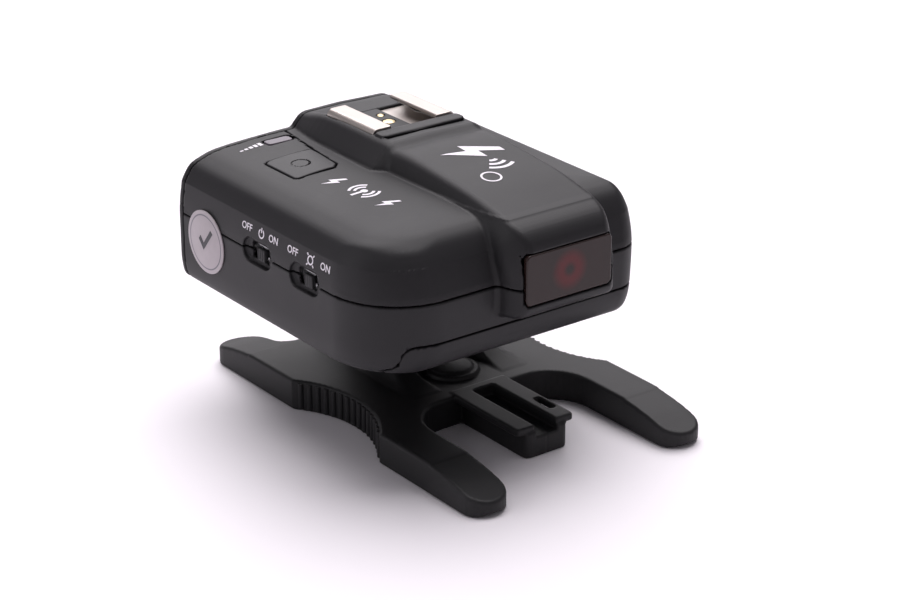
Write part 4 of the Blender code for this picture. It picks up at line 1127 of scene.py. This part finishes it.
def notchRibs(g, n):
    line = g.make("GeometryNodeCurveArc", {"mode": "RADIUS"},
                  {"Resolution": n["count"], "Radius": n["radius"], "Start Angle": n["start"],
                   "Sweep Angle": n["sweep"]})
    rib = g.make("GeometryNodeMeshCylinder", {}, {"Vertices": 12, "Side Segments": 1,
                                                  "Radius": n["rib"], "Depth": n["tall"]})
    points = g.make("GeometryNodeCurveToPoints", {"mode": "EVALUATED"}, {"Curve": line})
    return g.make("GeometryNodeInstanceOnPoints", {}, {"Points": points, "Instance": rib})


notchR = (stand["notchHalf"] ** 2 + stand["notchDeep"] ** 2) / (2 * stand["notchDeep"])
ribAngle = math.asin(16.4 / notchR)
ribs = {"count": 16, "radius": (notchR + 0.1) * mm, "start": -ribAngle, "sweep": 2 * ribAngle,
        "rib": 0.72 * mm, "tall": 6.6 * mm}
ribPieces = []
for side, turn in ((1, 180), (-1, 0)):
    piece = growPiece("ribRow%d" % side, notchRibs, ribs, standSkin)
    middle = side * (stand["half"] - stand["notchDeep"] + notchR)
    placed(piece, Matrix.Rotation(math.radians(turn), 4, "Z"), (middle, 0.0, 3.95))
    ribPieces.append(piece)
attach(mergePieces("thumbRibs", ribPieces), "stand")
print("repeated parts made")

# finishes of the frame's own nodes
kept = {"hot_shoe_insulator": shell, "af_reflector": mirror, "af_led": lampLens,
        "lcd_module": greyPanel, "main_board": board, "radio_module": steel,
        "battery_tray": shell, "battery_cell_1": wrap, "battery_cell_2": wrap,
        "shoe_foot": steel, "lock_pin": steel, "tripod_bush": brass}
for name, node in nodes.items():
    if node.hide_render:
        continue
    dark = "case_screw" in name or "jack" in name
    look = kept.get(name, brass if "contact" in name else darkMetal if dark else steel)
    node.data.materials.clear()
    node.data.materials.append(look)

view = {"at": (-0.32615, -0.4423, 0.2628), "back": (-0.55306, -0.73472, 0.39282),
        "across": (0.79894, -0.6014, 0.0), "lens": 100.0, "sensor": 36.0}
camera = bpy.data.cameras.new("camera")
camera.lens, camera.sensor_width, camera.clip_start = view["lens"], view["sensor"], 0.01
eye = bpy.data.objects.new("camera", camera)
back = Vector(view["back"]).normalized()
across = Vector(view["across"]).normalized()
up = back.cross(across)
eye.matrix_world = Matrix(((across.x, up.x, back.x, view["at"][0]),
                           (across.y, up.y, back.y, view["at"][1]),
                           (across.z, up.z, back.z, view["at"][2]), (0, 0, 0, 1)))
bpy.context.scene.collection.objects.link(eye)
bpy.context.scene.camera = eye

floorMesh = bpy.data.meshes.new("floor")
floorMesh.from_pydata([(-3, -3, 0), (3, -3, 0), (3, 3, 0), (-3, 3, 0)], [], [(0, 1, 2, 3)])
floorMesh.materials.append(material("paleFloor", lambda g: {
    "Base Color": g.mix(g.noise(3.0), (0.90, 0.87, 0.91, 1), (0.93, 0.90, 0.94, 1)),
    "Roughness": 0.55 + g.noise(40.0) * 0.1}))
floor = bpy.data.objects.new("floor", floorMesh)
bpy.context.scene.collection.objects.link(floor)

lights = {   # place, aim, size, power, colour
    "overhead": ((0.45, 0.55, 1.9), (0.0, 0.0, 0.03), 2.0, 54.0, (1.0, 0.965, 0.99)),
    "behind": ((0.9, 1.5, 0.8), (0.0, 0.0, 0.05), 1.2, 7.0, (1.0, 0.97, 1.0)),
    "leftFill": ((-1.6, 0.5, 0.7), (0.0, 0.0, 0.05), 1.0, 4.0, (0.98, 0.97, 1.0)),
}
for name, (at, aim, size, power, colour) in lights.items():
    lamp = bpy.data.lights.new(name, "AREA")
    lamp.size, lamp.energy, lamp.color = size, power, colour
    holder = bpy.data.objects.new(name, lamp)
    holder.location = at
    holder.rotation_mode = "QUATERNION"
    holder.rotation_quaternion = (Vector(aim) - Vector(at)).to_track_quat("-Z", "Y")
    bpy.context.scene.collection.objects.link(holder)
backdrop = {"colour": (0.95, 0.91, 0.96, 1), "strength": 0.28}
world = bpy.data.worlds.new("studio")
world.use_nodes = True
for i, value in enumerate(backdrop.values()):
    world.node_tree.nodes["Background"].inputs[i].default_value = value
bpy.context.scene.world = world
bpy.context.scene.view_settings.view_transform = "Standard"
print("stage set")
